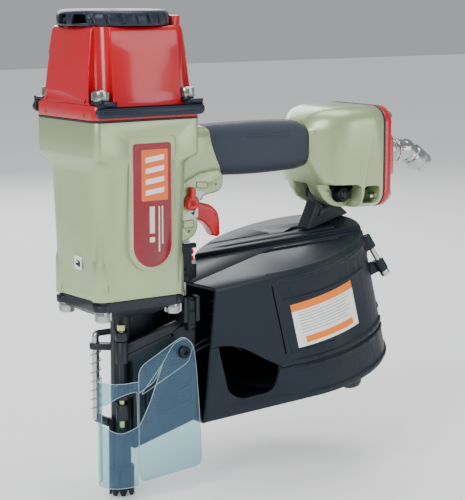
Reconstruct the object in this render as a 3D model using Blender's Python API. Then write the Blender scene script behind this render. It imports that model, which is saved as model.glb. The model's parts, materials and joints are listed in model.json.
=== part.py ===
# Pneumatic coil nailer with a tall tilted canister magazine.
# Design frame: millimetres, Z up along the drive axis, z = 0 at the contact foot's teeth, +X to the rear
# (towards the handle and the air inlet), -Y on the tool's left side. MM turns a size into metres.
import bpy
import bmesh
from math import acos, atan2, cos, pi, radians, sin, sqrt
from mathutils import Matrix, Vector

MM = 0.001
GAP = 0.3            # clearance between touching pieces
RUN = 0.3            # radial clearance of a pin or shaft in its hole
ROUND = 24           # sides of a large round piece
SMALL = 12           # sides of a small round piece

# cylinder head
SEAM_Z = 309.0       # underside of the cap, where it meets the gasket
GASKET_T = 1.1
CAP_TOP = 380.0
BLOCK_X, BLOCK_Y = 48.7, 45.0       # half size of the square head block
FLANGE_TOP = 321.0                  # the cap's flange, on which the bolts bear
CAP_BOLT_X, CAP_BOLT_Y = 39.5, 37.8
BOLT_R, BOLT_HEAD_R, BOLT_HEAD_H = 3.8, 6.5, 8.0
CHAMBER_R = 39.0                    # head valve chamber in the cap
COVER_R, COVER_H, COVER_X = 44.5, 12.1, -4.0
GUARD_T = 2.5

# body casting
BODY_BOTTOM = 167.5
STEP_Z = 275.0                      # middle of the step under the head block
BORE_FLOOR = 172.0
NOSE_BOLT_X, NOSE_BOLT_Y = 33.0, 27.5
SLEEVE_R, SLEEVE_WALL = 29.0, 3.5   # cylinder, inside the body's wider bore
BORE_R = SLEEVE_R + SLEEVE_WALL + 3.5
PISTON_H, PISTON_TOP = 12.0, 307.0
BLADE_R, BLADE_TIP = 3.0, 128.0
BUMPER_TOP = 181.0

# handle, rear chamber and air inlet
HANDLE_Z = 277.0
HANDLE_X0, HANDLE_X1 = 70.0, 175.0  # the grip's two ends
HANDLE_HY, HANDLE_HZ = 14.5, 17.0   # half size of the handle's core
GRIP_T = 3.6
GRIP_BULGE = 1.2
GRIP_LOW = HANDLE_Z - HANDLE_HZ - GRIP_T - GRIP_BULGE
CHAMBER_Z, CHAMBER_END = 265.0, HANDLE_X1 + 68.0
CHAMBER_HY, CHAMBER_HZ = 42.0, 43.6
CAP_PLATE_T, CAP_BLOCK_T = 8.0, 6.0
CAP_SCREW_Y, CAP_SCREW_Z, SCREW_R = 32.5, 33.5, 2.5
INLET_BOSS_X = CHAMBER_END + 29.0
INLET_R = 5.0
KNEE_X = INLET_BOSS_X + 31.0        # where the swivel fitting bends
BRACKET_X, BRACKET_Z = HANDLE_X1 + 35.0, 233.5      # the bolt that carries the magazine
BRACKET_HY = 7.6

# trigger group
TRIGGER_X, TRIGGER_Z = 58.0, 237.0
TRIGGER_W, CHEEK_Y = 6.0, 16.0      # half widths of the trigger and of its housing
PIVOT_R = 2.5
VALVE_X, VALVE_R, STEM_R = 78.0, 7.0, 2.0
VALVE_ROOF, VALVE_SEAT = 244.5, GRIP_LOW - 3.2

# contact arm
ROD_X, ROD_R = 62.5, 2.9
WHEEL_R, WHEEL_LOW, WHEEL_HIGH = 8.2, 186.6, 196.8
FOOT_R, FOOT_WALL = 10.4, 2.1
FOOT_TOP, FOOT_STRIP_TOP = 24.0, 64.0
LEG_X, LEG_Y = -10.0, 22.0
COLLAR_Z, COLLAR_T = 118.0, 5.0     # fixed collar that guides the leg and holds its spring

# nose, door and shield
NOSE_TIP, GUIDE_R, GUIDE_BORE = 14.0, 8.0, 3.6
FLANGE_X, FLANGE_Y, FLANGE_T = 38.5, 36.0, 8.0
HINGE_X, HINGE_Y, DOOR_PIN_R = -9.0, -16.0, 2.0     # the door's pin
DOOR_OUT, DOOR_T = -14.5, 5.4
WALL_IN, WALL_OUT = 6.5, 12.5       # fixed side of the feed throat
SHIELD_Y, SHIELD_T = -25.5, 1.2
SHIELD_BOLT_X, SHIELD_BOLT_Z = 44.0, 117.0
LATCH_X, LATCH_Y, LATCH_Z, LATCH_R = 54.0, -20.5, 156.5, 1.6
FEED_Y, FEED_Z, FEED_R, FEED_ROD_R = WALL_OUT + GAP + 10.0, 100.0, 7.0, 3.0

# magazine, in its own tilted frame: local z along the canister's axis, local x rearwards
TILT = radians(14.5)
MAG_X, MAG_Y, MAG_Z = BRACKET_X - 24.0, -2.0, 81.0  # centre of the canister's underside
CAN_R, CAN_WALL, CAN_H = 74.0, 2.6, 113.0
LID_STEP = 3.5                      # the fixed top stands this much above the cover
TUB_H = 32.0                        # height of the fixed tub below the cover
NECK_X0 = 70.0                      # the neck's mouth, behind the nose door
NECK_MOUTH = (NECK_X0 - MAG_X) / cos(TILT) - 12.0   # where it starts before it is cut upright
NECK_ROOT = NECK_MOUTH + 14.0
NECK_LEFT, NECK_RIGHT = -18.0, 16.0
NECK_EDGE = 62.0                    # local height of the cover's edge along the neck
CHORD = atan2(-0.652, 0.758)        # direction of the cover's parting line, seen from above
HINGE_REACH, HINGE_RISE, HINGE_LEAN = CAN_R + 6.0, 92.0, radians(17.8)
HINGE_PIN_R, KNUCKLE_R, HINGE_HALF = 2.2, 4.6, 17.0
SPINDLE_R, DISC_R = 6.0, CAN_R - 10.0
FOOT_PAD = (6.0, 16.0 - CAN_R)      # the rubber foot, in the magazine's frame
REST_X = MAG_X - 89.0

COLOURS = {
    "red": ((0.62, 0.01, 0.02), 0.25, 0.0), "green": ((0.52, 0.62, 0.47), 0.35, 0.3),
    "dark": ((0.03, 0.04, 0.055), 0.45, 0.0), "grip": ((0.06, 0.08, 0.11), 0.7, 0.0),
    "steel": ((0.55, 0.56, 0.58), 0.3, 1.0), "chrome": ((0.8, 0.8, 0.82), 0.12, 1.0),
    "black": ((0.015, 0.016, 0.018), 0.5, 0.0), "nut": ((0.6, 0.62, 0.3), 0.4, 0.6),
    "rubber": ((0.02, 0.02, 0.022), 0.85, 0.0), "alloy": ((0.6, 0.61, 0.62), 0.35, 1.0),
    "clear": ((0.45, 0.65, 0.85), 0.1, 0.0), "bumper": ((0.5, 0.35, 0.1), 0.6, 0.0),
}


# ---------------------------------------------------------------- shape helpers

def material(name):
    mat = bpy.data.materials.get(name)
    if mat is None:
        colour, roughness, metallic = COLOURS[name]
        mat = bpy.data.materials.new(name)
        mat.use_nodes = True
        shader = mat.node_tree.nodes["Principled BSDF"]
        shader.inputs["Base Color"].default_value = (*colour, 1.0)
        shader.inputs["Roughness"].default_value = roughness
        shader.inputs["Metallic"].default_value = metallic
    return mat


def solid(name, bm):
    """Turns a bmesh in millimetres into an object in metres."""
    bmesh.ops.recalc_face_normals(bm, faces=bm.faces)
    bmesh.ops.scale(bm, vec=(MM, MM, MM), verts=bm.verts)
    mesh = bpy.data.meshes.new(name)
    bm.to_mesh(mesh)
    bm.free()
    obj = bpy.data.objects.new(name, mesh)
    bpy.context.collection.objects.link(obj)
    return obj


def turned(profile, sides=ROUND, closed=False, name="turned"):
    """Spins (radius, z) points about Z. A closed profile makes a ring."""
    bm = bmesh.new()
    verts = [bm.verts.new((r, 0, z)) for r, z in profile]
    edges = [bm.edges.new(pair) for pair in zip(verts, verts[1:])]
    if closed:
        edges.append(bm.edges.new((verts[-1], verts[0])))
    bmesh.ops.spin(bm, geom=verts + edges, cent=(0, 0, 0), axis=(0, 0, 1), angle=2 * pi,
                   steps=sides, use_merge=True)
    bmesh.ops.remove_doubles(bm, verts=bm.verts, dist=2e-3)
    return solid(name, bm)


def rod(radius, low, high, sides=SMALL):
    return turned([(0, high), (radius, high), (radius, low), (0, low)], sides)


def tube(outer, inner, low, high, sides=ROUND):
    return turned([(outer, high), (outer, low), (inner, low), (inner, high)], sides, closed=True)


def extruded(outline, along, low, high):
    """Extrudes a flat outline along X (given as y, z), Y (as x, z) or Z (as x, y)."""
    place = {"X": lambda a, b: (low, a, b), "Y": lambda a, b: (a, low, b), "Z": lambda a, b: (a, b, low)}
    step = {"X": (1, 0, 0), "Y": (0, 1, 0), "Z": (0, 0, 1)}[along]
    bm = bmesh.new()
    face = bm.faces.new([bm.verts.new(place[along](a, b)) for a, b in outline])
    grown = bmesh.ops.extrude_face_region(bm, geom=[face])
    moved = [v for v in grown["geom"] if isinstance(v, bmesh.types.BMVert)]
    bmesh.ops.translate(bm, verts=moved, vec=Vector(step) * (high - low))
    return solid("extruded", bm)


def block(x0, x1, y0, y1, z0, z1):
    return extruded([(x0, y0), (x1, y0), (x1, y1), (x0, y1)], "Z", z0, z1)


def rounded(half_a, half_b, radius, a=0.0, b=0.0, steps=3):
    """Outline of a rounded rectangle about (a, b)."""
    points = []
    for corner in range(4):
        ca = a + (half_a - radius) * (1 if corner in (0, 3) else -1)
        cb = b + (half_b - radius) * (1 if corner < 2 else -1)
        for i in range(steps + 1):
            angle = (corner + i / steps) * pi / 2
            points.append((ca + radius * cos(angle), cb + radius * sin(angle)))
    return points


def slot(a0, b0, a1, b1, radius, steps=5):
    """Outline of a rounded bar from one centre to another."""
    lean = atan2(b1 - b0, a1 - a0)
    points = []
    for (a, b), start in (((a1, b1), lean - pi / 2), ((a0, b0), lean + pi / 2)):
        for i in range(steps + 1):
            angle = start + pi * i / steps
            points.append((a + radius * cos(angle), b + radius * sin(angle)))
    return points


def lofted(sections, along="Z"):
    """Joins outlines of equal length, each given with its place along the axis."""
    bm = bmesh.new()
    rings = []
    for place, outline in sections:
        if along == "Z":
            rings.append([bm.verts.new((a, b, place)) for a, b in outline])
        else:
            rings.append([bm.verts.new((place, a, b)) for a, b in outline])
    for low, high in zip(rings, rings[1:]):
        for i in range(len(low)):
            j = (i + 1) % len(low)
            bm.faces.new((low[i], low[j], high[j], high[i]))
    bm.faces.new(rings[0])
    bm.faces.new(rings[-1])
    return solid("lofted", bm)


def bent_rod(points, radius, sides=8):
    """A round bar along straight runs, mitred at its bends."""
    places = [Vector(p) for p in points]
    runs = [(b - a).normalized() for a, b in zip(places, places[1:])]
    first = runs[0].orthogonal().normalized()
    second = runs[0].cross(first)
    bm = bmesh.new()
    rings = [[places[0] + radius * (first * cos(2 * pi * k / sides) + second * sin(2 * pi * k / sides))
              for k in range(sides)]]
    for i, run in enumerate(runs):
        plane = run + runs[i + 1] if i + 1 < len(runs) else run
        end = places[i + 1]
        rings.append([v + run * ((end - v).dot(plane) / run.dot(plane)) for v in rings[-1]])
    made = [[bm.verts.new(v) for v in ring] for ring in rings]
    for a, b in zip(made, made[1:]):
        for k in range(sides):
            j = (k + 1) % sides
            bm.faces.new((a[k], a[j], b[j], b[k]))
    bm.faces.new(made[0])
    bm.faces.new(made[-1])
    return solid("bar", bm)


def coil_spring(radius, wire, turns, low, high, per_turn=9, sides=5):
    """A helix of round wire about Z, with plain ends."""
    bm = bmesh.new()
    count = int(turns * per_turn)
    rings = []
    for i in range(count + 1):
        angle = 2 * pi * i / per_turn
        z = low + wire + (high - low - 2 * wire) * i / count
        ring = []
        for k in range(sides):
            turn = 2 * pi * k / sides
            r = radius + wire * cos(turn)
            ring.append(bm.verts.new((r * cos(angle), r * sin(angle), z + wire * sin(turn))))
        rings.append(ring)
    for a, b in zip(rings, rings[1:]):
        for k in range(sides):
            j = (k + 1) % sides
            bm.faces.new((a[k], a[j], b[j], b[k]))
    bm.faces.new(rings[0])
    bm.faces.new(rings[-1])
    return solid("spring", bm)


def moved(obj, x=0.0, y=0.0, z=0.0):
    obj.data.transform(Matrix.Translation(Vector((x, y, z)) * MM))
    return obj


def aimed(obj, direction, at):
    """Turns a piece made about Z so that it points along a direction from a place."""
    turn = Vector((0, 0, 1)).rotation_difference(Vector(direction)).to_matrix().to_4x4()
    obj.data.transform(Matrix.Translation(Vector(at) * MM) @ turn)
    return obj


def tilted(obj):
    """Carries a piece from the magazine's frame to the design frame."""
    obj.data.transform(Matrix.Translation(Vector((MAG_X, MAG_Y, MAG_Z)) * MM)
                       @ Matrix.Rotation(-TILT, 4, "Y"))
    return obj


def boolean(target, tool, operation):
    change = target.modifiers.new("shape", "BOOLEAN")
    change.operation = operation
    change.solver = "EXACT"
    change.object = tool
    bpy.context.view_layer.update()
    result = target.evaluated_get(bpy.context.evaluated_depsgraph_get())
    mesh = bpy.data.meshes.new_from_object(result)
    bm = bmesh.new()
    bm.from_mesh(mesh)
    bmesh.ops.remove_doubles(bm, verts=bm.verts, dist=0.003 * MM)
    bmesh.ops.dissolve_degenerate(bm, edges=bm.edges, dist=0.001 * MM)
    bm.to_mesh(mesh)
    bm.free()
    target.modifiers.remove(change)
    target.data = mesh
    bpy.data.objects.remove(tool)
    return target


def cut(target, *tools):
    for tool in tools:
        boolean(target, tool, "DIFFERENCE")
    return target


def joined(target, *tools):
    for tool in tools:
        boolean(target, tool, "UNION")
    return target


def kept(target, tool):
    return boolean(target, tool, "INTERSECT")


def piece(name, obj, colour, pivot=None):
    """Names a finished solid, gives it its material and hangs it on its pivot."""
    obj.name = name
    obj.data.name = name
    obj.data.materials.clear()
    obj.data.materials.append(material(colour))
    obj.data.shade_smooth()
    obj.data.set_sharp_from_angle(angle=radians(32))
    obj["pivot"] = pivot or "body"
    return obj


def mirrored_places(x, y):
    return [(-x, -y), (x, -y), (-x, y), (x, y)]


def socket_bolt(shank_from, shank_to, head_r=BOLT_HEAD_R, shank_r=BOLT_R, head_h=BOLT_HEAD_H):
    """A cap screw about Z: the head stands on shank_from, away from shank_to."""
    way = 1 if shank_from > shank_to else -1
    top = shank_from + way * head_h
    profile = [(0, top - way * head_h * 0.5), (head_r * 0.46, top - way * head_h * 0.5),
               (head_r * 0.46, top), (head_r * 0.9, top), (head_r, top - way * head_h * 0.1),
               (head_r, shank_from), (shank_r, shank_from), (shank_r, shank_to), (0, shank_to)]
    return turned(profile, 10)


# ---------------------------------------------------------------- head

def make_cap():
    low = SEAM_Z + GAP
    cap = lofted([(low, rounded(BLOCK_X, BLOCK_Y, 6)), (FLANGE_TOP + 2, rounded(BLOCK_X, BLOCK_Y, 6)),
                  (350, rounded(46.5, 42.8, 10)), (CAP_TOP - 4, rounded(43.5, 39.5, 14)),
                  (CAP_TOP, rounded(41.5, 37.5, 13))])
    ridge = extruded([(42.5, -24), (46.5, -20), (46.5, 20), (42.5, 24), (40.5, 24), (40.5, -24)],
                     "Z", CAP_TOP - 12, CAP_TOP + 7.5)
    cap = joined(cap, ridge)
    cut(cap, rod(CHAMBER_R, low - 1, 350, ROUND), rod(33, 349, 373, ROUND))
    for angle in (0, 120, 240):
        port = rod(5, 372, CAP_TOP + 5)
        cut(cap, moved(port, COVER_X + 22 * cos(radians(angle)), 22 * sin(radians(angle))))
    cut(cap, moved(rod(3.2 + RUN, 372, CAP_TOP + 1), COVER_X))
    reach = BOLT_HEAD_R + 2
    for x, y in mirrored_places(CAP_BOLT_X, CAP_BOLT_Y):
        out = 22 if y > 0 else -22
        cut(cap, extruded(slot(x, y, x, y + out, reach), "Z", FLANGE_TOP, CAP_TOP + 20),
            moved(rod(BOLT_R + RUN, low - 1, FLANGE_TOP + 1), x, y))
    piece("cylinder_cap", cap, "red")


def make_gasket():
    gasket = extruded(rounded(BLOCK_X, BLOCK_Y, 6), "Z", SEAM_Z - GASKET_T + GAP, SEAM_Z)
    cut(gasket, rod(CHAMBER_R - 1, SEAM_Z - 5, SEAM_Z + 5, ROUND))
    for x, y in mirrored_places(CAP_BOLT_X, CAP_BOLT_Y):
        cut(gasket, moved(rod(BOLT_R + RUN, SEAM_Z - 5, SEAM_Z + 5), x, y))
    piece("cap_gasket", gasket, "black")


def make_exhaust_cover():
    low = CAP_TOP + GAP + 0.1
    top = low + COVER_H
    hub = 8.0
    ring = [(7.6, top), (COVER_R - 3, top), (COVER_R, top - 2.5), (COVER_R - 0.6, low), (COVER_R - 3.6, low),
            (COVER_R - 3.6, top - 3), (hub, top - 3), (hub, low), (3.2 + RUN, low), (3.2 + RUN, top - 4),
            (7.6, top - 4)]
    cover = moved(turned(ring, ROUND + 4, closed=True), COVER_X)
    for angle in (150, 176, 202):
        window = block(COVER_R - 8, COVER_R + 4, -6.5, 6.5, low + 1.6, top - 4)
        window.data.transform(Matrix.Rotation(radians(angle), 4, "Z"))
        cut(cover, moved(window, COVER_X))
    piece("exhaust_cover", cover, "dark", "exhaust")
    screw = turned([(0, top - 1.6), (2, top - 1.6), (2, top - 0.6), (5, top - 0.6), (6.9, top - 2),
                    (6.9, top - 3.7), (3.2, top - 3.7), (3.2, 374), (0, 374)], SMALL)
    piece("exhaust_cover_screw", moved(screw, COVER_X), "steel")


def make_guard(side, name):
    low, high = FLANGE_TOP - 9.5, FLANGE_TOP + GAP + GUARD_T
    face = BLOCK_Y + GAP
    bar = extruded(slot(-BLOCK_X + 4, low + 4.2, BLOCK_X - 4, low + 4.2, 4.2), "Y", face, face + 5.5)
    for x in (-CAP_BOLT_X, CAP_BOLT_X):
        lug = extruded(slot(x, CAP_BOLT_Y, x, face + 1, 7.5), "Z", FLANGE_TOP + GAP, high)
        post = block(x - 7, x + 7, face, face + 5.4, low + 3, high - 0.1)
        joined(bar, post, lug)
        cut(bar, moved(rod(BOLT_R + RUN, low, high + 5), x, CAP_BOLT_Y))
    bar.data.transform(Matrix.Scale(side, 4, (0, 1, 0)))
    if side < 0:
        bar.data.flip_normals()
    piece(name, bar, "dark")


def make_cap_bolts():
    seat = FLANGE_TOP + GAP + GUARD_T + GAP
    for i, (x, y) in enumerate(mirrored_places(CAP_BOLT_X, CAP_BOLT_Y)):
        piece(f"cap_bolt_{i + 1}", moved(socket_bolt(seat, SEAM_Z - 18), x, y), "chrome")


def make_head_valve():
    low = SEAM_Z + GAP + 1.2
    valve = turned([(0, low + 12), (17, low + 12), (19, low + 9), (CHAMBER_R - 0.5, low + 9),
                    (CHAMBER_R - 0.5, low + 3), (33, low + 3), (33, low), (0, low)])
    piece("head_valve_piston", valve, "alloy", "head_valve")
    spring = coil_spring(24, 1.3, 5, low + 9 + GAP, 373 - GAP)
    piece("head_valve_spring", spring, "steel")


def make_cylinder():
    low, high = BORE_FLOOR + GAP, SEAM_Z + GAP
    outer = SLEEVE_R + SLEEVE_WALL
    sleeve = turned([(BORE_R - 0.5, high), (BORE_R - 0.5, high - 6), (outer, high - 8), (outer, low),
                     (SLEEVE_R, low), (SLEEVE_R, high)], closed=True)
    piece("cylinder_sleeve", sleeve, "steel")
    bumper = turned([(SLEEVE_R - 0.5, BUMPER_TOP - 3), (SLEEVE_R - 0.5, low), (8, low), (8, BUMPER_TOP),
                     (SLEEVE_R - 4, BUMPER_TOP)], closed=True)
    piece("bumper", bumper, "bumper")


def make_piston():
    top, low = PISTON_TOP, PISTON_TOP - PISTON_H
    r = SLEEVE_R - 0.5
    groove_high, groove_low = top - 3.5, top - 7.5
    profile = [(0, top), (r, top), (r, groove_high), (r - 2.6, groove_high), (r - 2.6, groove_low),
               (r, groove_low), (r, low), (6, low), (BLADE_R, low - 8), (BLADE_R, BLADE_TIP), (0, BLADE_TIP)]
    piece("driver_piston", turned(profile), "alloy", "piston")
    ring = tube(SLEEVE_R - 0.2, r - 2.6 + GAP, groove_low + GAP, groove_high - GAP)
    piece("piston_ring", ring, "rubber", "piston")


# ---------------------------------------------------------------- body casting

def body_shell():
    shell = lofted([(BODY_BOTTOM, rounded(39.5, 36.5, 11)), (200, rounded(42, 39, 17)),
                    (STEP_Z - 6, rounded(45, 42, 21)), (STEP_Z + 6, rounded(BLOCK_X, BLOCK_Y, 6)),
                    (SEAM_Z - GASKET_T, rounded(BLOCK_X, BLOCK_Y, 6))])
    for x, y in mirrored_places(NOSE_BOLT_X, NOSE_BOLT_Y):
        boss = turned([(0, 206), (5, 204), (8.6, 197), (8.6, BODY_BOTTOM), (0, BODY_BOTTOM)], SMALL)
        joined(shell, moved(boss, x, y))
    return shell


def handle_shell():
    def section(x, z, half_z, half_y, radius):
        return x, rounded(half_y, half_z, radius, 0, z)
    return lofted([section(25, 272, 26, 22, 12), section(48, 273, 26, 20, 12),
                   section(HANDLE_X0 - 2, HANDLE_Z, HANDLE_HZ + 3, HANDLE_HY + 3, 12),
                   section(HANDLE_X0 - 1, HANDLE_Z, HANDLE_HZ, HANDLE_HY, 11),
                   section(HANDLE_X1 + 1, HANDLE_Z, HANDLE_HZ, HANDLE_HY, 11),
                   section(HANDLE_X1 + 3, HANDLE_Z - 1, HANDLE_HZ + 4, HANDLE_HY + 4, 12),
                   section(HANDLE_X1 + 13, 269.5, 35, 31, 17), section(HANDLE_X1 + 25, 266, 41.5, 38, 18),
                   section(CHAMBER_END - GASKET_T, CHAMBER_Z, CHAMBER_HZ, CHAMBER_HY, 15)], along="X")


def trigger_housing():
    outline = [(38, 203), (60, 207), (66, 213), (66, 235), (70, 240), (76, 243.5), (86, 243), (90, 247),
               (90, GRIP_LOW - GAP), (HANDLE_X0 - GAP, GRIP_LOW - GAP), (HANDLE_X0 - GAP, 262), (38, 262)]
    return extruded(outline, "Y", -CHEEK_Y, CHEEK_Y)


def make_body():
    body = joined(body_shell(), handle_shell(), trigger_housing())
    top = SEAM_Z - GASKET_T
    cut(body, rod(BORE_R, BORE_FLOOR, top + 5, ROUND), rod(24, BODY_BOTTOM - 5, BORE_FLOOR + 5, ROUND))
    for x, y in mirrored_places(CAP_BOLT_X, CAP_BOLT_Y):
        cut(body, moved(rod(BOLT_R + RUN, SEAM_Z - 21, top + 5), x, y))
    for x, y in mirrored_places(NOSE_BOLT_X, NOSE_BOLT_Y):
        cut(body, moved(rod(BOLT_R + RUN, BODY_BOTTOM - 5, BODY_BOTTOM + 19), x, y))
    # the air way from the rear chamber to the head
    cut(body, aimed(rod(9, 0, HANDLE_X1 + 5), (1, 0, 0), (25, 0, HANDLE_Z)))
    cavity = lofted([(HANDLE_X1 + 17, rounded(20, 22, 10, 0, 272)),
                     (HANDLE_X1 + 29, rounded(30, 31, 12, 0, CHAMBER_Z)),
                     (CHAMBER_END + 5, rounded(30, 31, 12, 0, CHAMBER_Z))], along="X")
    cut(body, cavity)
    for y in (-CAP_SCREW_Y, CAP_SCREW_Y):
        for z in (CHAMBER_Z - CAP_SCREW_Z, CHAMBER_Z + CAP_SCREW_Z):
            cut(body, aimed(rod(SCREW_R + RUN, 0, 20, 10), (1, 0, 0), (CHAMBER_END - 14, y, z)))
    # the lower boss that carries the magazine, with the recesses beside it
    cut(body, block(HANDLE_X1 + 3, BRACKET_X + 9, 20, 60, 210, 243),
        block(HANDLE_X1 + 3, BRACKET_X + 9, -60, -20, 210, 243),
        block(BRACKET_X + 11.5, BRACKET_X + 28, 24, 60, 226, 241),
        block(BRACKET_X + 11.5, BRACKET_X + 28, -60, -24, 226, 241))
    cut(body, block(BRACKET_X - 40, BRACKET_X + 22, -BRACKET_HY - 0.4, BRACKET_HY + 0.4, 205, 243))
    cut(body, aimed(rod(BOLT_R + RUN, -30, 30), (0, 1, 0), (BRACKET_X, 0, BRACKET_Z)))
    # trigger slot, its pivot and the valve's bore
    slot_outline = [(46.5, 199), (102, 199), (102, 250), (92, 250), (72, 244), (52, 244), (52, 222),
                    (46.5, 222)]
    cut(body, extruded(slot_outline, "Y", -TRIGGER_W - GAP, TRIGGER_W + GAP))
    cut(body, aimed(rod(PIVOT_R + RUN, -25, 25), (0, 1, 0), (TRIGGER_X, 0, TRIGGER_Z)))
    cut(body, moved(rod(VALVE_R + RUN, 238, VALVE_SEAT), VALVE_X))
    piece("body_casting", body, "green")


def make_grip():
    def section(x, grow):
        return x, rounded(HANDLE_HY + GRIP_T + grow, HANDLE_HZ + GRIP_T + grow, 13, 0, HANDLE_Z)
    low, high = HANDLE_X0, HANDLE_X1
    grip = lofted([section(low, -1), section(low + 3, 0), section((low + high) / 2, GRIP_BULGE),
                   section(high - 3, 0), section(high, -1)], along="X")
    core = lofted([(low - 5, rounded(HANDLE_HY + GAP, HANDLE_HZ + GAP, 11, 0, HANDLE_Z)),
                   (high + 5, rounded(HANDLE_HY + GAP, HANDLE_HZ + GAP, 11, 0, HANDLE_Z))], along="X")
    piece("grip_sleeve", cut(grip, core), "grip")


def make_end_cap():
    seat = CHAMBER_END + GAP
    gasket = lofted([(CHAMBER_END - GASKET_T + GAP, rounded(CHAMBER_HY, CHAMBER_HZ, 15, 0, CHAMBER_Z)),
                     (CHAMBER_END, rounded(CHAMBER_HY, CHAMBER_HZ, 15, 0, CHAMBER_Z))], along="X")
    cut(gasket, lofted([(CHAMBER_END - 5, rounded(29, 30, 12, 0, CHAMBER_Z)),
                        (CHAMBER_END + 5, rounded(29, 30, 12, 0, CHAMBER_Z))], along="X"))
    plate_top = seat + CAP_PLATE_T
    cap = lofted([(seat, rounded(CHAMBER_HY, CHAMBER_HZ, 15, 0, CHAMBER_Z)),
                  (plate_top, rounded(CHAMBER_HY - 1, CHAMBER_HZ - 1, 15, 0, CHAMBER_Z))], along="X")
    cross = lofted([(plate_top - 2, rounded(CHAMBER_HY - 2, 20, 5, 0, CHAMBER_Z)),
                    (plate_top + CAP_BLOCK_T, rounded(CHAMBER_HY - 5, 18, 5, 0, CHAMBER_Z))], along="X")
    stem = lofted([(plate_top - 2, rounded(20, CHAMBER_HZ - 2, 5, 0, CHAMBER_Z)),
                   (plate_top + CAP_BLOCK_T - 0.2, rounded(18, CHAMBER_HZ - 5, 5, 0, CHAMBER_Z))], along="X")
    boss = aimed(rod(17, -3, INLET_BOSS_X - plate_top, 20), (1, 0, 0), (plate_top, 0, CHAMBER_Z))
    joined(cap, cross, stem, boss)
    cut(cap, aimed(rod(10, -30, 40, 20), (1, 0, 0), (plate_top, 0, CHAMBER_Z)))
    screws = []
    for y in (-CAP_SCREW_Y, CAP_SCREW_Y):
        for z in (CHAMBER_Z - CAP_SCREW_Z, CHAMBER_Z + CAP_SCREW_Z):
            hole = aimed(rod(SCREW_R + RUN, -20, 20, 10), (1, 0, 0), (plate_top, y, z))
            cut(cap, hole)
            screw = aimed(socket_bolt(0, -18, 5.2, SCREW_R, 4.5), (1, 0, 0), (plate_top + GAP, y, z))
            screws.append(screw)
            hole = aimed(rod(SCREW_R + RUN, -20, 20, 10), (1, 0, 0), (plate_top, y, z))
            cut(gasket, hole)
    piece("end_gasket", gasket, "black")
    piece("end_cap", cap, "red")
    for i, screw in enumerate(screws):
        piece(f"end_cap_screw_{i + 1}", screw, "chrome")


def make_fitting():
    x0 = CHAMBER_END + 6
    seat = INLET_BOSS_X + GAP
    profile = [(9.7, x0), (INLET_R, x0), (INLET_R, INLET_BOSS_X + 17), (7, INLET_BOSS_X + 17),
               (7, INLET_BOSS_X + 12), (12, INLET_BOSS_X + 12), (12, seat), (9.7, seat)]
    nipple = turned(profile, 20, closed=True)
    piece("inlet_nipple", aimed(nipple, (1, 0, 0), (0, 0, CHAMBER_Z)), "chrome")
    # elbow that swivels about the inlet, its outlet 45 degrees down
    start = INLET_BOSS_X + 12 + GAP
    knee = Vector((KNEE_X, 0, CHAMBER_Z))
    collar = tube(11, 7 + RUN, start, start + 8, 20)
    neck = rod(9, start + 5 + GAP, knee.x, 20)
    elbow = joined(aimed(collar, (1, 0, 0), (0, 0, CHAMBER_Z)), aimed(neck, (1, 0, 0), (0, 0, CHAMBER_Z)))
    arc = [(9.5 * sin(pi * i / 8), 9.5 * cos(pi * i / 8)) for i in range(1, 8)]
    ball = turned([(0, 9.5)] + arc + [(0, -9.5)], 16)
    out = Vector((1, 0, -0.62)).normalized()
    joined(elbow, moved(ball, *knee), aimed(rod(11, 6, 27, 6), out, knee))
    cut(elbow, aimed(rod(6.5, 0, 40, 12), out, knee), aimed(rod(5.2, -40, 4, 12), (1, 0, 0), knee))
    piece("swivel_fitting", elbow, "chrome", "swivel")


# ---------------------------------------------------------------- trigger group

def make_trigger():
    outline = [(TRIGGER_X - 4, TRIGGER_Z + 4), (TRIGGER_X + 4, TRIGGER_Z + 4.5), (75, 235), (86, 232),
               (93, 226), (95, 220), (95.5, 207), (93.5, 204.5), (89, 206), (85, 213), (79, 218.5), (72, 221),
               (66, 224.5), (TRIGGER_X, TRIGGER_Z - 5), (TRIGGER_X - 4, TRIGGER_Z - 4)]
    trigger = extruded(outline, "Y", -TRIGGER_W + 0.4, TRIGGER_W - 0.4)
    cut(trigger, aimed(rod(PIVOT_R + RUN, -25, 25), (0, 1, 0), (TRIGGER_X, 0, TRIGGER_Z)))
    piece("trigger", trigger, "red", "trigger")


def make_selector():
    face = CHEEK_Y + GAP
    shaft = rod(PIVOT_R, -CHEEK_Y - 1.5, face + 1)
    knob = rod(5.3, face, face + 4.5)
    joined(shaft, knob)
    aimed(shaft, (0, -1, 0), (TRIGGER_X, 0, TRIGGER_Z))
    outline = slot(TRIGGER_X, TRIGGER_Z, TRIGGER_X, TRIGGER_Z + 10, 2.2)
    lever = extruded(outline, "Y", -face - 4.2, -face - 0.2)
    piece("selector_dial", joined(shaft, lever), "red", "selector")


def make_trigger_valve():
    roof, seat = VALVE_ROOF, VALVE_SEAT - GAP
    bush = tube(VALVE_R, STEM_R + RUN, roof, seat, 18)
    piece("trigger_valve_body", moved(bush, VALVE_X), "black")
    tip = 235.9
    stem = turned([(0, roof + 3), (STEM_R, roof + 3), (STEM_R, roof - 4.6), (STEM_R + 0.9, roof - 4.6),
                   (STEM_R + 0.9, tip + 0.8), (STEM_R - 0.4, tip), (0, tip)], 12)
    piece("trigger_valve_stem", moved(stem, VALVE_X), "steel", "valve_stem")


# ---------------------------------------------------------------- contact arm

def make_arm_cover():
    outline = [(42.9, 172), (60, 170), (68.6, 174), (68.6, 202.6), (47, 202.6), (42.9, 201)]
    cover = extruded(outline, "Y", -10, 10)
    cut(cover, block(47.5, 67.3, -8.6, 8.6, 160, 210),
        block(60, 80, -8.6, 8.6, WHEEL_LOW - 2.4, 215))
    piece("arm_cover", cover, "dark")


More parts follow.
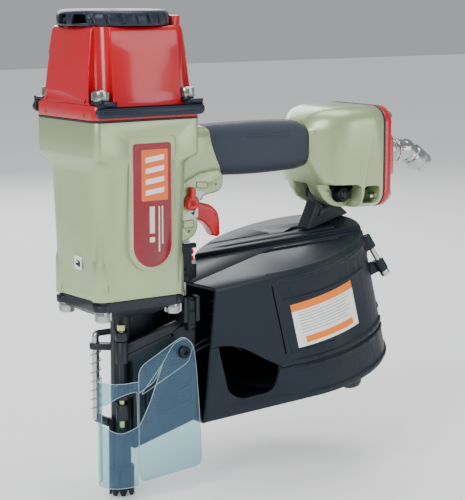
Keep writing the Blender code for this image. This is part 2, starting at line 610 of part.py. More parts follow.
def make_contact_arm():
    plate = block(48.2, 51.2, -4, 4, 181, 206)
    joined(plate, block(49, 65.6, -4, 4, 202, 205.5), block(49, 65.6, -4, 4, 181, 185))
    pad = turned([(0, 214), (3, 214), (3, 204), (0, 204)], SMALL)
    joined(plate, moved(pad, ROD_X))
    cut(plate, moved(rod(ROD_R + RUN, 175, 190), ROD_X))
    piece("contact_arm_top", plate, "steel", "contact_arm")
    wheel = tube(WHEEL_R, ROD_R + RUN, WHEEL_LOW, WHEEL_HIGH, 20)
    piece("depth_wheel", moved(wheel, ROD_X), "red", "depth_wheel")


def foot_strip():
    """The foot's front wall, above its full tube, with the lug that carries its leg."""
    strip = tube(FOOT_R - 0.1, FOOT_R - FOOT_WALL + 0.1, FOOT_TOP - 4, FOOT_STRIP_TOP, 24)
    kept(strip, block(-20, -6.6, -2.6, 12, 0, FOOT_STRIP_TOP))
    lug = block(LEG_X - 1.2, -GUIDE_R - 0.4, 3, LEG_Y + 1, FOOT_STRIP_TOP - 7, FOOT_STRIP_TOP)
    return joined(strip, lug)


def make_contact_foot():
    foot = tube(FOOT_R, FOOT_R - FOOT_WALL, 0, FOOT_TOP, 24)
    notch = [(-3.2, -1), (3.2, -1), (0, 6.5)]
    cut(foot, extruded(notch, "Y", -20, 20), extruded(notch, "X", -20, 20))
    joined(foot, foot_strip())
    run = bent_rod([(ROD_X, 0, 196.5), (ROD_X, 0, 152), (ROD_X, LEG_Y, 152), (ROD_X, LEG_Y, 131),
                    (LEG_X, LEG_Y, 131), (LEG_X, LEG_Y, FOOT_STRIP_TOP - 5)], ROD_R)
    piece("contact_foot", joined(foot, run), "dark", "contact_foot")
    spring = coil_spring(ROD_R + 1.2, 0.6, 7, FOOT_STRIP_TOP + GAP, COLLAR_Z - GAP)
    piece("contact_arm_spring", moved(spring, LEG_X, LEG_Y), "steel")


# ---------------------------------------------------------------- nose

def slant(x, height):
    """World height over x of a plane at a local height in the magazine's frame."""
    return MAG_Z + (height + (x - MAG_X) * sin(TILT)) / cos(TILT)


def make_nose():
    top = BODY_BOTTOM - GAP
    nose = extruded(rounded(FLANGE_X, FLANGE_Y, 9), "Z", top - FLANGE_T, top)
    bell = turned([(0, top - 1), (33, top - 1), (33, top - FLANGE_T), (28, top - FLANGE_T - 6), (18, 150),
                   (0, 150)])
    guide = rod(GUIDE_R, NOSE_TIP, 152, 24)
    wall_outline = [(-2, 128), (-2, slant(-2, 5)), (66, slant(66, 5)), (66, 141), (40, 150.5), (-2, 150.5)]
    wall = extruded(wall_outline, "Y", WALL_IN, WALL_OUT)
    ring = extruded(slot(HINGE_X, HINGE_Y, -2, -4, 5), "Z", 131, 138)
    boss = extruded(slot(HINGE_X, HINGE_Y, -2, -4, 4.8), "Z", 66, 79)
    collar = extruded(slot(LEG_X, LEG_Y, 2, WALL_OUT - 2, ROD_R + 2.1), "Z", COLLAR_Z, COLLAR_Z + COLLAR_T)
    joined(nose, bell, guide, wall, ring, boss, collar)
    cut(nose, moved(rod(ROD_R + RUN, COLLAR_Z - 5, COLLAR_Z + 15), LEG_X, LEG_Y))
    cut(nose, rod(GUIDE_BORE, NOSE_TIP - 5, 175, 16), block(0, 13, -4.6, 4.6, slant(0, 8), 130))
    cut(nose, block(14, 39, WALL_IN - 2.5, WALL_OUT + 1.5, FEED_Z - 8, FEED_Z + 8))
    cut(nose, moved(rod(DOOR_PIN_R + RUN, 50, 145), HINGE_X, HINGE_Y))
    for x, y in mirrored_places(NOSE_BOLT_X, NOSE_BOLT_Y):
        cut(nose, moved(rod(BOLT_R + RUN, 140, 175), x, y))
    piece("nose_casting", nose, "dark")
    for i, (x, y) in enumerate(mirrored_places(NOSE_BOLT_X, NOSE_BOLT_Y)):
        bolt = socket_bolt(top - FLANGE_T - GAP, BODY_BOTTOM + 16)
        piece(f"nose_bolt_{i + 1}", moved(bolt, x, y), "chrome")


def make_door():
    out, inner = DOOR_OUT, DOOR_OUT + DOOR_T
    outline = [(3, 82), (3, slant(3, 6)), (64, slant(64, 6)), (64, slant(64, 92)), (61, 147), (47, 147),
               (47, slant(47, 92)), (-4, slant(-4, 92)), (-4, 115.4), (3, 112)]
    door = extruded(outline, "Y", out, inner)
    knuckle = moved(rod(5, 113, 130.5), HINGE_X, HINGE_Y)
    web = block(HINGE_X + 3, 6, out, inner, 113, min(130.0, slant(-4, 92)))
    lower = moved(rod(5, 83, 92), HINGE_X, HINGE_Y)
    lower_web = block(HINGE_X + 3, 6, out, inner, 83.2, 91.8)
    boss = rod(5, -inner - 1, -SHIELD_Y - SHIELD_T - GAP, 16)
    aimed(boss, (0, -1, 0), (SHIELD_BOLT_X, 0, SHIELD_BOLT_Z))
    joined(door, web, knuckle, lower_web, lower, boss)
    # pressed panels
    cut(door, extruded([(6, 58), (6, 104), (15, 107), (15, 60)], "Y", out - 1, out + 1.2))
    cut(door, extruded([(24, 64), (24, 100), (40, 104), (60, 100), (60, 73)], "Y", out - 1, out + 1.2))
    cut(door, moved(rod(DOOR_PIN_R + RUN, 50, 145), HINGE_X, HINGE_Y))
    cut(door, aimed(rod(SCREW_R + RUN, -40, 40, 12), (0, 1, 0), (SHIELD_BOLT_X, 0, SHIELD_BOLT_Z)))
    piece("nose_door", door, "dark", "door")
    pin = turned([(0, 145), (3.4, 145), (3.4, 139), (DOOR_PIN_R, 139), (DOOR_PIN_R, 60), (0, 60)], 12)
    piece("door_pin", moved(pin, HINGE_X, HINGE_Y), "nut")


def make_latch():
    bracket = block(LATCH_X - 8, LATCH_X + 8, LATCH_Y - 4, DOOR_OUT - GAP, 140, 161)
    cut(bracket, block(LATCH_X - 4, LATCH_X + 4, LATCH_Y - 20, LATCH_Y + 4.6, 130, 170))
    joined(bracket, aimed(rod(LATCH_R, -7.5, 7.5, 10), (1, 0, 0), (LATCH_X, LATCH_Y, LATCH_Z)))
    piece("latch_bracket", bracket, "dark", "door")
    lever = extruded(slot(LATCH_Y, LATCH_Z, LATCH_Y - 0.4, 136, 3.2), "X", LATCH_X - 3.7, LATCH_X + 3.7)
    cut(lever, aimed(rod(LATCH_R + RUN, -30, 30, 10), (1, 0, 0), (LATCH_X, LATCH_Y, LATCH_Z)))
    piece("door_latch", lever, "black", "latch")


def make_shield():
    near = SHIELD_Y + SHIELD_T
    side = extruded([(0, 14), (66, 19), (62, 60), (58, 106), (54, 124), (44, 129), (35, 126), (0, 106)],
                    "Y", SHIELD_Y, near)
    cut(side, extruded([(0, 80), (18, 92), (2, 50), (-2, 50), (-2, 80)], "Y", SHIELD_Y - 2, near + 2))
    cut(side, aimed(rod(SCREW_R + RUN, -40, 40, 12), (0, 1, 0), (SHIELD_BOLT_X, 0, SHIELD_BOLT_Z)))
    piece("shield_side", side, "clear", "door")
    bolt = socket_bolt(0, -13, 5.2, SCREW_R, 4)
    aimed(bolt, (0, -1, 0), (SHIELD_BOLT_X, SHIELD_Y - GAP, SHIELD_BOLT_Z))
    piece("shield_bolt", bolt, "black", "door")
    centre_x, centre_y, radius = -10.0, -10.0, -10.0 - SHIELD_Y
    arc = [radians(a) for a in range(-90, -246, -12)]
    outer = [(centre_x + radius * cos(a), centre_y + radius * sin(a)) for a in arc]
    inner = [(centre_x + (radius - SHIELD_T) * cos(a), centre_y + (radius - SHIELD_T) * sin(a)) for a in arc]
    front = extruded(outer + inner[::-1], "Z", 12, 98)
    opening = extruded([(-22, 52), (-22, 80), (4, 84), (4, 52)], "Y", -30, -9)
    cut(front, opening)
    piece("shield_front", front, "clear")


def make_feeder():
    near = WALL_OUT + GAP
    axle = (0, FEED_Y, FEED_Z)
    barrel = block(12, 60, near, near + 19, FEED_Z - 10, FEED_Z + 10)
    cut(barrel, aimed(rod(FEED_R, 20, 80, 18), (1, 0, 0), axle),
        aimed(rod(FEED_ROD_R + RUN, 0, 80, 12), (1, 0, 0), axle),
        block(5, 44, near - 5, FEED_Y, FEED_Z - 6.5, FEED_Z + 6.5))
    piece("feed_cylinder", barrel, "dark")
    piston = aimed(rod(FEED_R - RUN, 28, 34, 18), (1, 0, 0), axle)
    joined(piston, aimed(rod(FEED_ROD_R, 8, 30, 12), (1, 0, 0), axle))
    joined(piston, block(15, 25, WALL_IN - 3, FEED_Y, FEED_Z - 3, FEED_Z + 3))
    piece("feed_pawl", piston, "steel", "feeder")


# ---------------------------------------------------------------- magazine

def tangent(mouth_x, mouth_y, radius):
    """Where a line from the neck's mouth touches the canister's circle, in local plan."""
    distance = sqrt(mouth_x ** 2 + mouth_y ** 2)
    side = 1 if mouth_y > 0 else -1
    angle = atan2(mouth_y, mouth_x) - side * acos(radius / distance)
    return radius * cos(angle), radius * sin(angle)


def canister(radius, left, right, low, high, mouth=NECK_MOUTH):
    """Round can with a straight-sided neck, in the magazine's frame."""
    can = rod(radius, low, high, 40)
    near = tangent(NECK_ROOT, left, radius)
    far = tangent(NECK_ROOT, right, radius)
    neck = extruded([(mouth, left), (NECK_ROOT, left), near, far, (NECK_ROOT, right), (mouth, right)], "Z",
                    low + 0.02, high - 0.02)
    return joined(can, neck)


def cover_region(grow):
    """The space of the cover: in front and left of the parting line, above the tub and the neck's edge."""
    reach = 140
    along = (cos(CHORD), sin(CHORD))
    normal = (-along[1], along[0])
    shift = (normal[0] * grow, normal[1] * grow)
    far = (along[0] * reach + shift[0], along[1] * reach + shift[1])
    plan = [(-200, grow), (shift[0], grow), far, (far[0] - 200, far[1] - 200), (-200, -200)]
    region = extruded(plan, "Z", TUB_H + GAP - grow, 180)
    foot, shoulder = 17 - CAN_R - grow, 8 - CAN_R - grow
    return cut(region, extruded([(-260, -10), (foot, -10), (foot, TUB_H - 2), (shoulder, NECK_EDGE - grow),
                                 (-260, NECK_EDGE - grow)], "Y", -260, 260))


def can_shell():
    wall = CAN_WALL
    shell = canister(CAN_R, NECK_LEFT, NECK_RIGHT, 0, CAN_H)
    cut(shell, canister(CAN_R - wall, NECK_LEFT + wall, NECK_RIGHT - wall, wall, CAN_H - wall,
                        NECK_MOUTH - 18))
    tilted(shell)
    return cut(shell, block(0, NECK_X0, -100, 100, 0, 300))


def hinge_place():
    """A point on the cover's hinge axis, and the axis, in the design frame."""
    turn = Matrix.Rotation(-TILT, 3, "Y")
    up = turn @ Vector((0, 0, 1))
    along = turn @ Vector((cos(CHORD), sin(CHORD), 0))
    centre = Vector((MAG_X, MAG_Y, MAG_Z)) + up * HINGE_RISE + along * HINGE_REACH
    axis = (-up * cos(HINGE_LEAN) + along * sin(HINGE_LEAN)).normalized()
    return centre, axis, along


def hinge_ear(start, end, side):
    """A knuckle about the hinge axis, with a web back to the can's wall on one side of the parting line."""
    centre, axis, along = hinge_place()
    across = along.cross(axis).normalized() * side
    inward = axis.cross(across).normalized()
    if inward.dot(along) > 0:
        inward = -inward
    knuckle = rod(KNUCKLE_R, start, end)
    aimed(knuckle, axis, centre)
    bm = bmesh.new()
    corners = []
    for along_axis in (start + 0.05, end - 0.05):
        for reach, width in ((0.1, 0.3), (0.1, KNUCKLE_R - 0.2), (18, 6.5), (18, 0.3)):
            corners.append(bm.verts.new(centre + axis * along_axis + inward * reach + across * width))
    low, high = corners[:4], corners[4:]
    bm.faces.new(low)
    bm.faces.new(high)
    for i in range(4):
        j = (i + 1) % 4
        bm.faces.new((low[i], low[j], high[j], high[i]))
    ear = joined(knuckle, solid("web", bm))
    return cut(ear, aimed(rod(HINGE_PIN_R + RUN, start - 5, end + 5), axis, centre))


def make_magazine():
    body = can_shell()
    cover = can_shell()
    cut(body, tilted(cover_region(0.2)))
    kept(cover, tilted(cover_region(-0.2)))
    # raised top on the fixed side
    plan = rounded(CAN_R - 1, CAN_R - 1, CAN_R - 1, steps=8)
    raised = extruded(plan, "Z", CAN_H - 1, CAN_H + LID_STEP)
    along = (cos(CHORD), sin(CHORD))
    normal = (-along[1], along[0])
    edge = [(along[0] * -150 + normal[0] * 6, along[1] * -150 + normal[1] * 6),
            (along[0] * 150 + normal[0] * 6, along[1] * 150 + normal[1] * 6),
            (along[0] * 150 + normal[0] * 200, along[1] * 150 + normal[1] * 200),
            (along[0] * -150 + normal[0] * 200, along[1] * -150 + normal[1] * 200)]
    kept(raised, extruded(edge, "Z", CAN_H - 5, CAN_H + 20))
    joined(body, tilted(raised))
    # open recess in the neck's near wall, under the cover
    cut(body, tilted(block(-24 - CAN_R, 16 - CAN_R, -120, -6, 14, NECK_EDGE + 5)))
    centre, axis, _ = hinge_place()
    for part in (body, cover):
        cut(part, aimed(rod(KNUCKLE_R + 0.9, -HINGE_HALF - 0.9, HINGE_HALF + 0.9), axis, centre))
    joined(body, hinge_ear(7, HINGE_HALF, 1))
    joined(cover, hinge_ear(-HINGE_HALF, 7 - 0.4, -1))
    piece("magazine_body", body, "dark")
    piece("magazine_cover", cover, "dark", "cover")
    head = HINGE_HALF + 0.4
    pin = turned([(0, head + 4.6), (4, head + 4.6), (4, head), (HINGE_PIN_R, head),
                  (HINGE_PIN_R, 0.5 - HINGE_HALF), (0, 0.5 - HINGE_HALF)], 12)
    piece("cover_hinge_pin", aimed(pin, axis, centre), "steel")


def make_magazine_inside():
    top = CAN_H - 17
    spindle = turned([(0, top), (SPINDLE_R - 1.5, top), (SPINDLE_R, top - 4), (SPINDLE_R, CAN_WALL + GAP),
                      (0, CAN_WALL + GAP)], 16)
    piece("nail_spindle", tilted(spindle), "dark")
    hub = SPINDLE_R + 2.5
    bore = SPINDLE_R + RUN
    disc = turned([(hub, 26), (hub, 12), (DISC_R, 12), (DISC_R, 9), (bore, 9), (bore, 26)], ROUND, closed=True)
    piece("nail_support", tilted(disc), "black", "nail_support")


def make_magazine_bracket():
    top = CAN_H + LID_STEP
    x0, x1 = BRACKET_X - 24, BRACKET_X + 22
    base = [(x0, slant(x0, top) + GAP), (x1, slant(x1, top) + GAP), (BRACKET_X + 11, BRACKET_Z - 11.5),
            (BRACKET_X + 9, BRACKET_Z + 4.5), (BRACKET_X - 7, BRACKET_Z + 6.5),
            (BRACKET_X - 15, BRACKET_Z + 2.5), (BRACKET_X - 13, BRACKET_Z - 7.5)]
    arm = extruded(base, "Y", -BRACKET_HY, BRACKET_HY)
    cut(arm, aimed(rod(BOLT_R + RUN, -30, 30), (0, 1, 0), (BRACKET_X, 0, BRACKET_Z)))
    piece("magazine_bracket", arm, "dark")
    bolt = aimed(socket_bolt(0, -44), (0, -1, 0), (BRACKET_X, -20 - GAP, BRACKET_Z))
    piece("bracket_bolt", bolt, "black")


def make_feet():
    foot = turned([(0, -GAP), (9, -GAP), (9, -5), (7, -8), (0, -8)], 18)
    piece("rubber_foot", tilted(moved(foot, *FOOT_PAD)), "rubber")
    low, high = REST_X, REST_X + 34
    rest = extruded([(low, slant(low, 0) - GAP), (high, slant(high, 0) - GAP), (high, slant(high, -9)),
                     (high - 7, slant(high - 7, -10)), (high - 13, slant(high - 13, -6)),
                     (low + 12, slant(low + 12, -6)), (low + 7, slant(low + 7, -10)), (low, slant(low, -9))],
                    "Y", MAG_Y - 2, MAG_Y + 10)
    piece("magazine_rest", rest, "dark")


# ---------------------------------------------------------------- pivots and the root

def pivots():
    centre, _, _ = hinge_place()
    return {
        "exhaust": (COVER_X, 0, CAP_TOP), "head_valve": (0, 0, SEAM_Z), "piston": (0, 0, PISTON_TOP),
        "swivel": (INLET_BOSS_X, 0, CHAMBER_Z), "trigger": (TRIGGER_X, 0, TRIGGER_Z),
        "selector": (TRIGGER_X, 0, TRIGGER_Z), "valve_stem": (VALVE_X, 0, 240),
        "contact_arm": (ROD_X, 0, 185),
        "depth_wheel": (ROD_X, 0, WHEEL_LOW), "contact_foot": (0, 0, 0), "door": (HINGE_X, HINGE_Y, 100),
        "latch": (LATCH_X, LATCH_Y, LATCH_Z), "feeder": (20, FEED_Y, FEED_Z), "cover": tuple(centre),
        "nail_support": (MAG_X, MAG_Y, MAG_Z),
    }


def hang_pieces():
    """Puts every piece on its pivot, and the root where the footprint's centre is the origin."""
    pieces = [o for o in bpy.data.objects if o.type == "MESH"]
    corners = [v.co for o in pieces for v in o.data.vertices]
    middle = [(min(c[i] for c in corners) + max(c[i] for c in corners)) / 2 for i in (0, 1)]
    root = bpy.data.objects.new("root", None)
    root.location = (-middle[0], -middle[1], -min(c[2] for c in corners))
    bpy.context.collection.objects.link(root)
    empties = {}
    for name, place in pivots().items():
        empty = bpy.data.objects.new("pivot_" + name, None)
        empty.parent = root
        empty.location = Vector(place) * MM
        bpy.context.collection.objects.link(empty)
        empties[name] = empty
    for obj in pieces:
        pivot = obj["pivot"]
        del obj["pivot"]
        if pivot == "body":
            obj.parent = root
        else:
            obj.parent = empties[pivot]
            obj.location = -empties[pivot].location


def main():
    for obj in list(bpy.data.objects):
        bpy.data.objects.remove(obj)
    make_cap()
    make_gasket()
    make_exhaust_cover()
    make_guard(-1, "guard_bar_left")
    make_guard(1, "guard_bar_right")
    make_cap_bolts()
    make_head_valve()
    make_cylinder()
    make_piston()
    make_body()
    make_grip()
    make_end_cap()
    make_fitting()
    make_trigger()
    make_selector()
    make_trigger_valve()
    make_arm_cover()
    make_contact_arm()
    make_contact_foot()
    make_nose()
    make_door()
    make_latch()
    make_shield()
    make_feeder()
    make_magazine()
    make_magazine_inside()
    make_magazine_bracket()
    make_feet()
    hang_pieces()


main()
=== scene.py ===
# Looks of a pneumatic coil nailer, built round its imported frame.
# Shapes are worked out in millimetres about the drive axis:
# x runs to the rear, -y to the tool's left and z up from the teeth.
import json
from math import acos, atan2, cos, pi, radians, sin, sqrt
import bpy
import bmesh
from mathutils import Matrix, Vector

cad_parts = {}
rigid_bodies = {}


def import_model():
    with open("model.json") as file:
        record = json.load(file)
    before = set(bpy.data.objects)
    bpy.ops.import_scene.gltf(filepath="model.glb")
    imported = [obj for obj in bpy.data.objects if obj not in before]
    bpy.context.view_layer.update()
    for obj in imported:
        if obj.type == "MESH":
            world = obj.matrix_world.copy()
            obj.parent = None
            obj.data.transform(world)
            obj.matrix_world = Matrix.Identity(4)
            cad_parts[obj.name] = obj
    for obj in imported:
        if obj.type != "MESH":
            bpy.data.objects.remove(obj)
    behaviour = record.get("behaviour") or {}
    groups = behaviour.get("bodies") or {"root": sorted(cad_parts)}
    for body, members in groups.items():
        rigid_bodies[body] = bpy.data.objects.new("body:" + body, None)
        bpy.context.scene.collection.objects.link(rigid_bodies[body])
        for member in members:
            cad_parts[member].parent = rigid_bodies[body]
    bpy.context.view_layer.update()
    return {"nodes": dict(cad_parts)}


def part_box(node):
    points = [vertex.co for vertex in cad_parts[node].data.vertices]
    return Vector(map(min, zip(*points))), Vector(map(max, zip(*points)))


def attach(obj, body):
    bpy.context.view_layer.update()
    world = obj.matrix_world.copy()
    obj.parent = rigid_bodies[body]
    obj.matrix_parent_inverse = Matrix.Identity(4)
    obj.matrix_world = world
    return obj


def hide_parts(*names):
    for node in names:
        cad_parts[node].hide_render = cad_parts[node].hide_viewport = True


for old in list(bpy.data.objects):
    bpy.data.objects.remove(old)
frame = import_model()
sleeveLow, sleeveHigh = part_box("cylinder_sleeve")
origin = Vector(((sleeveLow.x + sleeveHigh.x) / 2, (sleeveLow.y + sleeveHigh.y) / 2, 0))
toMetres = Matrix.Translation(origin) @ Matrix.Scale(0.001, 4)
gap = 0.3               # clearance between touching pieces
boltHole = 4.1          # radius of every hole for an M8 bolt
print("frame loaded")


# materials

class Wire:
    # an output socket; arithmetic on it adds Math nodes
    def __init__(self, tree, socket):
        self.tree = tree
        self.socket = socket

    def joinWith(self, operation, first, second):
        node = self.tree.nodes.new("ShaderNodeMath")
        node.operation = operation
        for slotNumber, value in enumerate((first, second)):
            if isinstance(value, Wire):
                self.tree.links.new(value.socket, node.inputs[slotNumber])
            else:
                node.inputs[slotNumber].default_value = value
        return Wire(self.tree, node.outputs[0])

    def __add__(self, other):
        return self.joinWith("ADD", self, other)

    def __sub__(self, other):
        return self.joinWith("SUBTRACT", self, other)

    def __rsub__(self, other):
        return self.joinWith("SUBTRACT", other, self)

    def __mul__(self, other):
        return self.joinWith("MULTIPLY", self, other)

    def __gt__(self, other):
        return self.joinWith("GREATER_THAN", self, other)

    def __lt__(self, other):
        return self.joinWith("LESS_THAN", self, other)

    __radd__ = __add__
    __rmul__ = __mul__


class Paint:
    # a material with one Principled shader and the nodes that feed it
    def __init__(self, name, colour, roughness, metallic=0.0, **fixed):
        self.material = bpy.data.materials.new(name)
        self.material.use_nodes = True
        self.tree = self.material.node_tree
        self.shader = self.tree.nodes["Principled BSDF"]
        self.colour = (*colour, 1.0)
        self.set("Base Color", self.colour)
        self.set("Roughness", roughness)
        self.set("Metallic", metallic)
        for label, value in fixed.items():
            self.set(label.replace("_", " "), value)
        self.place = self.node("ShaderNodeTexCoord", output="Object")

    def node(self, kind, settings=None, sockets=None, output=0):
        made = self.tree.nodes.new(kind)
        for label, value in (settings or {}).items():
            if label == "stops":
                ramp = made.color_ramp.elements
                for element, (position, colour) in zip(ramp, value):
                    element.position = position
                    element.color = (*colour, 1.0)
            else:
                setattr(made, label, value)
        for label, value in (sockets or {}).items():
            self.feed(made.inputs[label], value)
        return Wire(self.tree, made.outputs[output])

    def feed(self, socket, value):
        if isinstance(value, Wire):
            self.tree.links.new(value.socket, socket)
        else:
            socket.default_value = value

    def set(self, label, value):
        self.feed(self.shader.inputs[label], value)

    def noise(self, scale, detail=2.0, stretch=None):
        place = self.place
        if stretch:
            place = self.node("ShaderNodeMapping", sockets={"Vector": self.place, "Scale": stretch})
        return self.node("ShaderNodeTexNoise", sockets={"Vector": place, "Scale": scale, "Detail": detail})

    def mix(self, mask, first, second):
        return self.node("ShaderNodeMix", {"data_type": "RGBA"}, {0: mask, 6: first, 7: second}, output=2)

    def shades(self, mask, darker, lighter):
        dark = tuple(c * darker for c in self.colour[:3]) + (1.0,)
        light = tuple(min(1.0, c * lighter) for c in self.colour[:3]) + (1.0,)
        return self.mix(mask, dark, light)

    def step(self, value, low, high):
        return self.node("ShaderNodeMapRange", sockets={0: value, 1: low, 2: high})

    def bump(self, height, strength, distance):
        relief = self.node("ShaderNodeBump", sockets={"Height": height, "Strength": strength,
                                                      "Distance": distance})
        self.set("Normal", relief)


def gloss(name, colour, roughness=0.2):
    paint = Paint(name, colour, roughness, Coat_Weight=0.35, Coat_Roughness=0.06)
    cloud = paint.noise(18, 3)
    paint.set("Base Color", paint.shades(cloud, 0.86, 1.12))
    paint.set("Roughness", paint.step(paint.noise(60, 4), 0.2, 0.8) * 0.1 + (roughness - 0.05))
    paint.bump(paint.noise(900, 2), 0.05, 0.0004)
    return paint.material


def metallicPaint(name, colour):
    paint = Paint(name, colour, 0.36, 0.5, Coat_Weight=0.35, Coat_Roughness=0.12)
    flake = paint.noise(5200, 1)
    cloud = paint.noise(14, 3)
    paint.set("Base Color", paint.shades(flake * 0.55 + cloud * 0.45, 0.8, 1.2))
    paint.set("Roughness", paint.noise(90, 3) * 0.12 + 0.3)
    paint.bump(paint.noise(2600, 2), 0.06, 0.0002)
    return paint.material


def mouldedPlastic(name, colour, roughness=0.42, grain=2400):
    paint = Paint(name, colour, roughness, Specular_IOR_Level=0.3)
    cloud = paint.noise(22, 4)
    scuff = paint.step(paint.noise(160, 6, (1, 1, 0.35)), 0.62, 0.74)
    paint.set("Base Color", paint.shades(cloud * 0.8 + scuff * 0.25, 0.82, 1.3))
    paint.set("Roughness", cloud * 0.14 + scuff * 0.08 + (roughness - 0.08))
    paint.bump(paint.noise(grain, 3) + scuff * 0.3, 0.16, 0.00025)
    return paint.material


def castMetal(name, colour, roughness=0.45, metallic=0.35):
    paint = Paint(name, colour, roughness, metallic)
    cloud = paint.noise(30, 5)
    grain = paint.noise(1500, 4)
    paint.set("Base Color", paint.shades(cloud, 0.75, 1.3))
    paint.set("Roughness", grain * 0.2 + (roughness - 0.1))
    paint.bump(grain + cloud * 0.4, 0.22, 0.0004)
    return paint.material


def bareMetal(name, colour, roughness, stretch=(1, 1, 0.06)):
    paint = Paint(name, colour, roughness, 1.0)
    lines = paint.noise(1400, 3, stretch)
    stain = paint.noise(45, 5)
    paint.set("Base Color", paint.shades(stain, 0.84, 1.08))
    paint.set("Roughness", lines * 0.1 + stain * 0.06 + (roughness - 0.05))
    paint.bump(lines, 0.06, 0.0002)
    return paint.material


def softRubber(name, colour, roughness=0.62):
    paint = Paint(name, colour, roughness, Sheen_Weight=0.15, Sheen_Roughness=0.5)
    cells = paint.node("ShaderNodeTexVoronoi", sockets={"Vector": paint.place, "Scale": 1500.0})
    cloud = paint.noise(26, 4)
    paint.set("Base Color", paint.shades(cloud * 0.7 + cells * 0.4, 0.8, 1.22))
    paint.set("Roughness", cloud * 0.16 + (roughness - 0.08))
    paint.bump(cells, 0.25, 0.0004)
    return paint.material


def clearPlastic(name):
    paint = Paint(name, (0.2, 0.31, 0.5), 0.12, Coat_Weight=0.4, Coat_Roughness=0.03)
    haze = paint.noise(35, 4)
    paint.set("Base Color", paint.shades(haze, 0.9, 1.15))
    through = paint.node("ShaderNodeBsdfTransparent", sockets={"Color": (0.7, 0.9, 0.9, 1.0)}, output="BSDF")
    surface = Wire(paint.tree, paint.shader.outputs["BSDF"])
    share = haze * 0.05 + 0.14
    blend = paint.node("ShaderNodeMixShader", sockets={0: share, 1: through, 2: surface})
    end = paint.tree.nodes["Material Output"]
    paint.tree.links.new(blend.socket, end.inputs["Surface"])
    return paint.material


def printedLabel(name):
    # a pale notice with plain orange bands and grey rules, drawn on the label's own UV map
    paint = Paint(name, (0.86, 0.9, 0.86), 0.32)
    uv = paint.node("ShaderNodeUVMap")
    across = paint.node("ShaderNodeSeparateXYZ", sockets={0: uv}, output="X")
    up = Wire(paint.tree, across.socket.node.outputs["Y"])
    header = up > 0.83
    footer = (up > 0.07) * (up < 0.22) * (across > 0.14) * (across < 0.9)
    rule = paint.node("ShaderNodeMath", {"operation": "FRACT"}, {0: up * 15.0}) > 0.6
    ragged = paint.node("ShaderNodeTexNoise", {"noise_dimensions": "1D"}, {"W": up * 9.0, "Scale": 1.0})
    body = (up > 0.29) * (up < 0.79) * (across > 0.1) * (across < ragged * 0.5 + 0.62)
    plain = paint.mix(rule * body * 0.55, paint.colour, (0.12, 0.15, 0.16, 1.0))
    paint.set("Base Color", paint.mix(header + footer, plain, (0.88, 0.2, 0.0, 1.0)))
    paint.set("Roughness", paint.noise(300, 3) * 0.15 + 0.27)
    paint.bump(paint.noise(700, 2), 0.05, 0.0002)
    return paint.material


finishes = {
    "redEnamel": gloss("redEnamel", (0.5, 0.0, 0.008)),
    "redPlastic": gloss("redPlastic", (0.6, 0.0, 0.006), 0.3),
    "greenEnamel": metallicPaint("greenEnamel", (0.4, 0.49, 0.27)),
    "darkPlastic": mouldedPlastic("darkPlastic", (0.007, 0.014, 0.023), 0.48),
    "guardPlastic": mouldedPlastic("guardPlastic", (0.014, 0.02, 0.036), 0.34, 1800),
    "gripRubber": softRubber("gripRubber", (0.014, 0.025, 0.045)),
    "blackRubber": softRubber("blackRubber", (0.012, 0.014, 0.017)),
    "chrome": bareMetal("chrome", (0.5, 0.53, 0.51), 0.16, (1, 1, 1)),
    "steel": bareMetal("steel", (0.55, 0.56, 0.57), 0.28),
    "alloy": bareMetal("alloy", (0.62, 0.63, 0.64), 0.34, (1, 1, 0.02)),
    "darkAlloy": castMetal("darkAlloy", (0.014, 0.02, 0.027)),
    "blackSteel": castMetal("blackSteel", (0.012, 0.016, 0.022), 0.38, 0.55),
    "bumperRubber": softRubber("bumperRubber", (0.45, 0.3, 0.1)),
    "zincPin": bareMetal("zincPin", (0.52, 0.58, 0.26), 0.3),
    "clearPlastic": clearPlastic("clearPlastic"),
    # pale gloss for the beads on the clear sheets' real edges and fold; the pale colour is a painted
    # highlight on those edges
    "sheetEdgeHighlight": gloss("sheetEdgeHighlight", (0.42, 0.56, 0.62), 0.2),
    "maroonFoil": gloss("maroonFoil", (0.24, 0.0, 0.012), 0.28),
    "creamPrint": gloss("creamPrint", (0.82, 0.74, 0.58), 0.3),
    "orangePrint": gloss("orangePrint", (0.85, 0.13, 0.0), 0.3),
    "whitePrint": gloss("whitePrint", (0.88, 0.88, 0.86), 0.3),
    "silverFoil": gloss("silverFoil", (0.62, 0.7, 0.76), 0.25),
    "printedLabel": printedLabel("printedLabel"),
}
print("finishes made")


# shape helpers, all in millimetres

def placed(name, data):
    obj = bpy.data.objects.new(name, data)
    bpy.context.scene.collection.objects.link(obj)
    return obj


def meshAsIs(bm):
    mesh = bpy.data.meshes.new("shape")
    bm.to_mesh(mesh)
    bm.free()
    return placed("shape", mesh)


def meshFrom(bm):
    bmesh.ops.recalc_face_normals(bm, faces=bm.faces)
    return meshAsIs(bm)


def lathe(profile, sides=64, closed=False):
    bm = bmesh.new()
    points = [bm.verts.new((r, 0, z)) for r, z in profile]
    edges = [bm.edges.new(pair) for pair in zip(points, points[1:])]
    if closed:
        edges.append(bm.edges.new((points[-1], points[0])))
    bmesh.ops.spin(bm, geom=points + edges, cent=(0, 0, 0), axis=(0, 0, 1), angle=2 * pi, steps=sides,
                   use_merge=True)
    bmesh.ops.remove_doubles(bm, verts=bm.verts, dist=0.002)
    return meshFrom(bm)


def rod(radius, low, high, sides=32):
    return lathe([(0, high), (radius, high), (radius, low), (0, low)], sides)


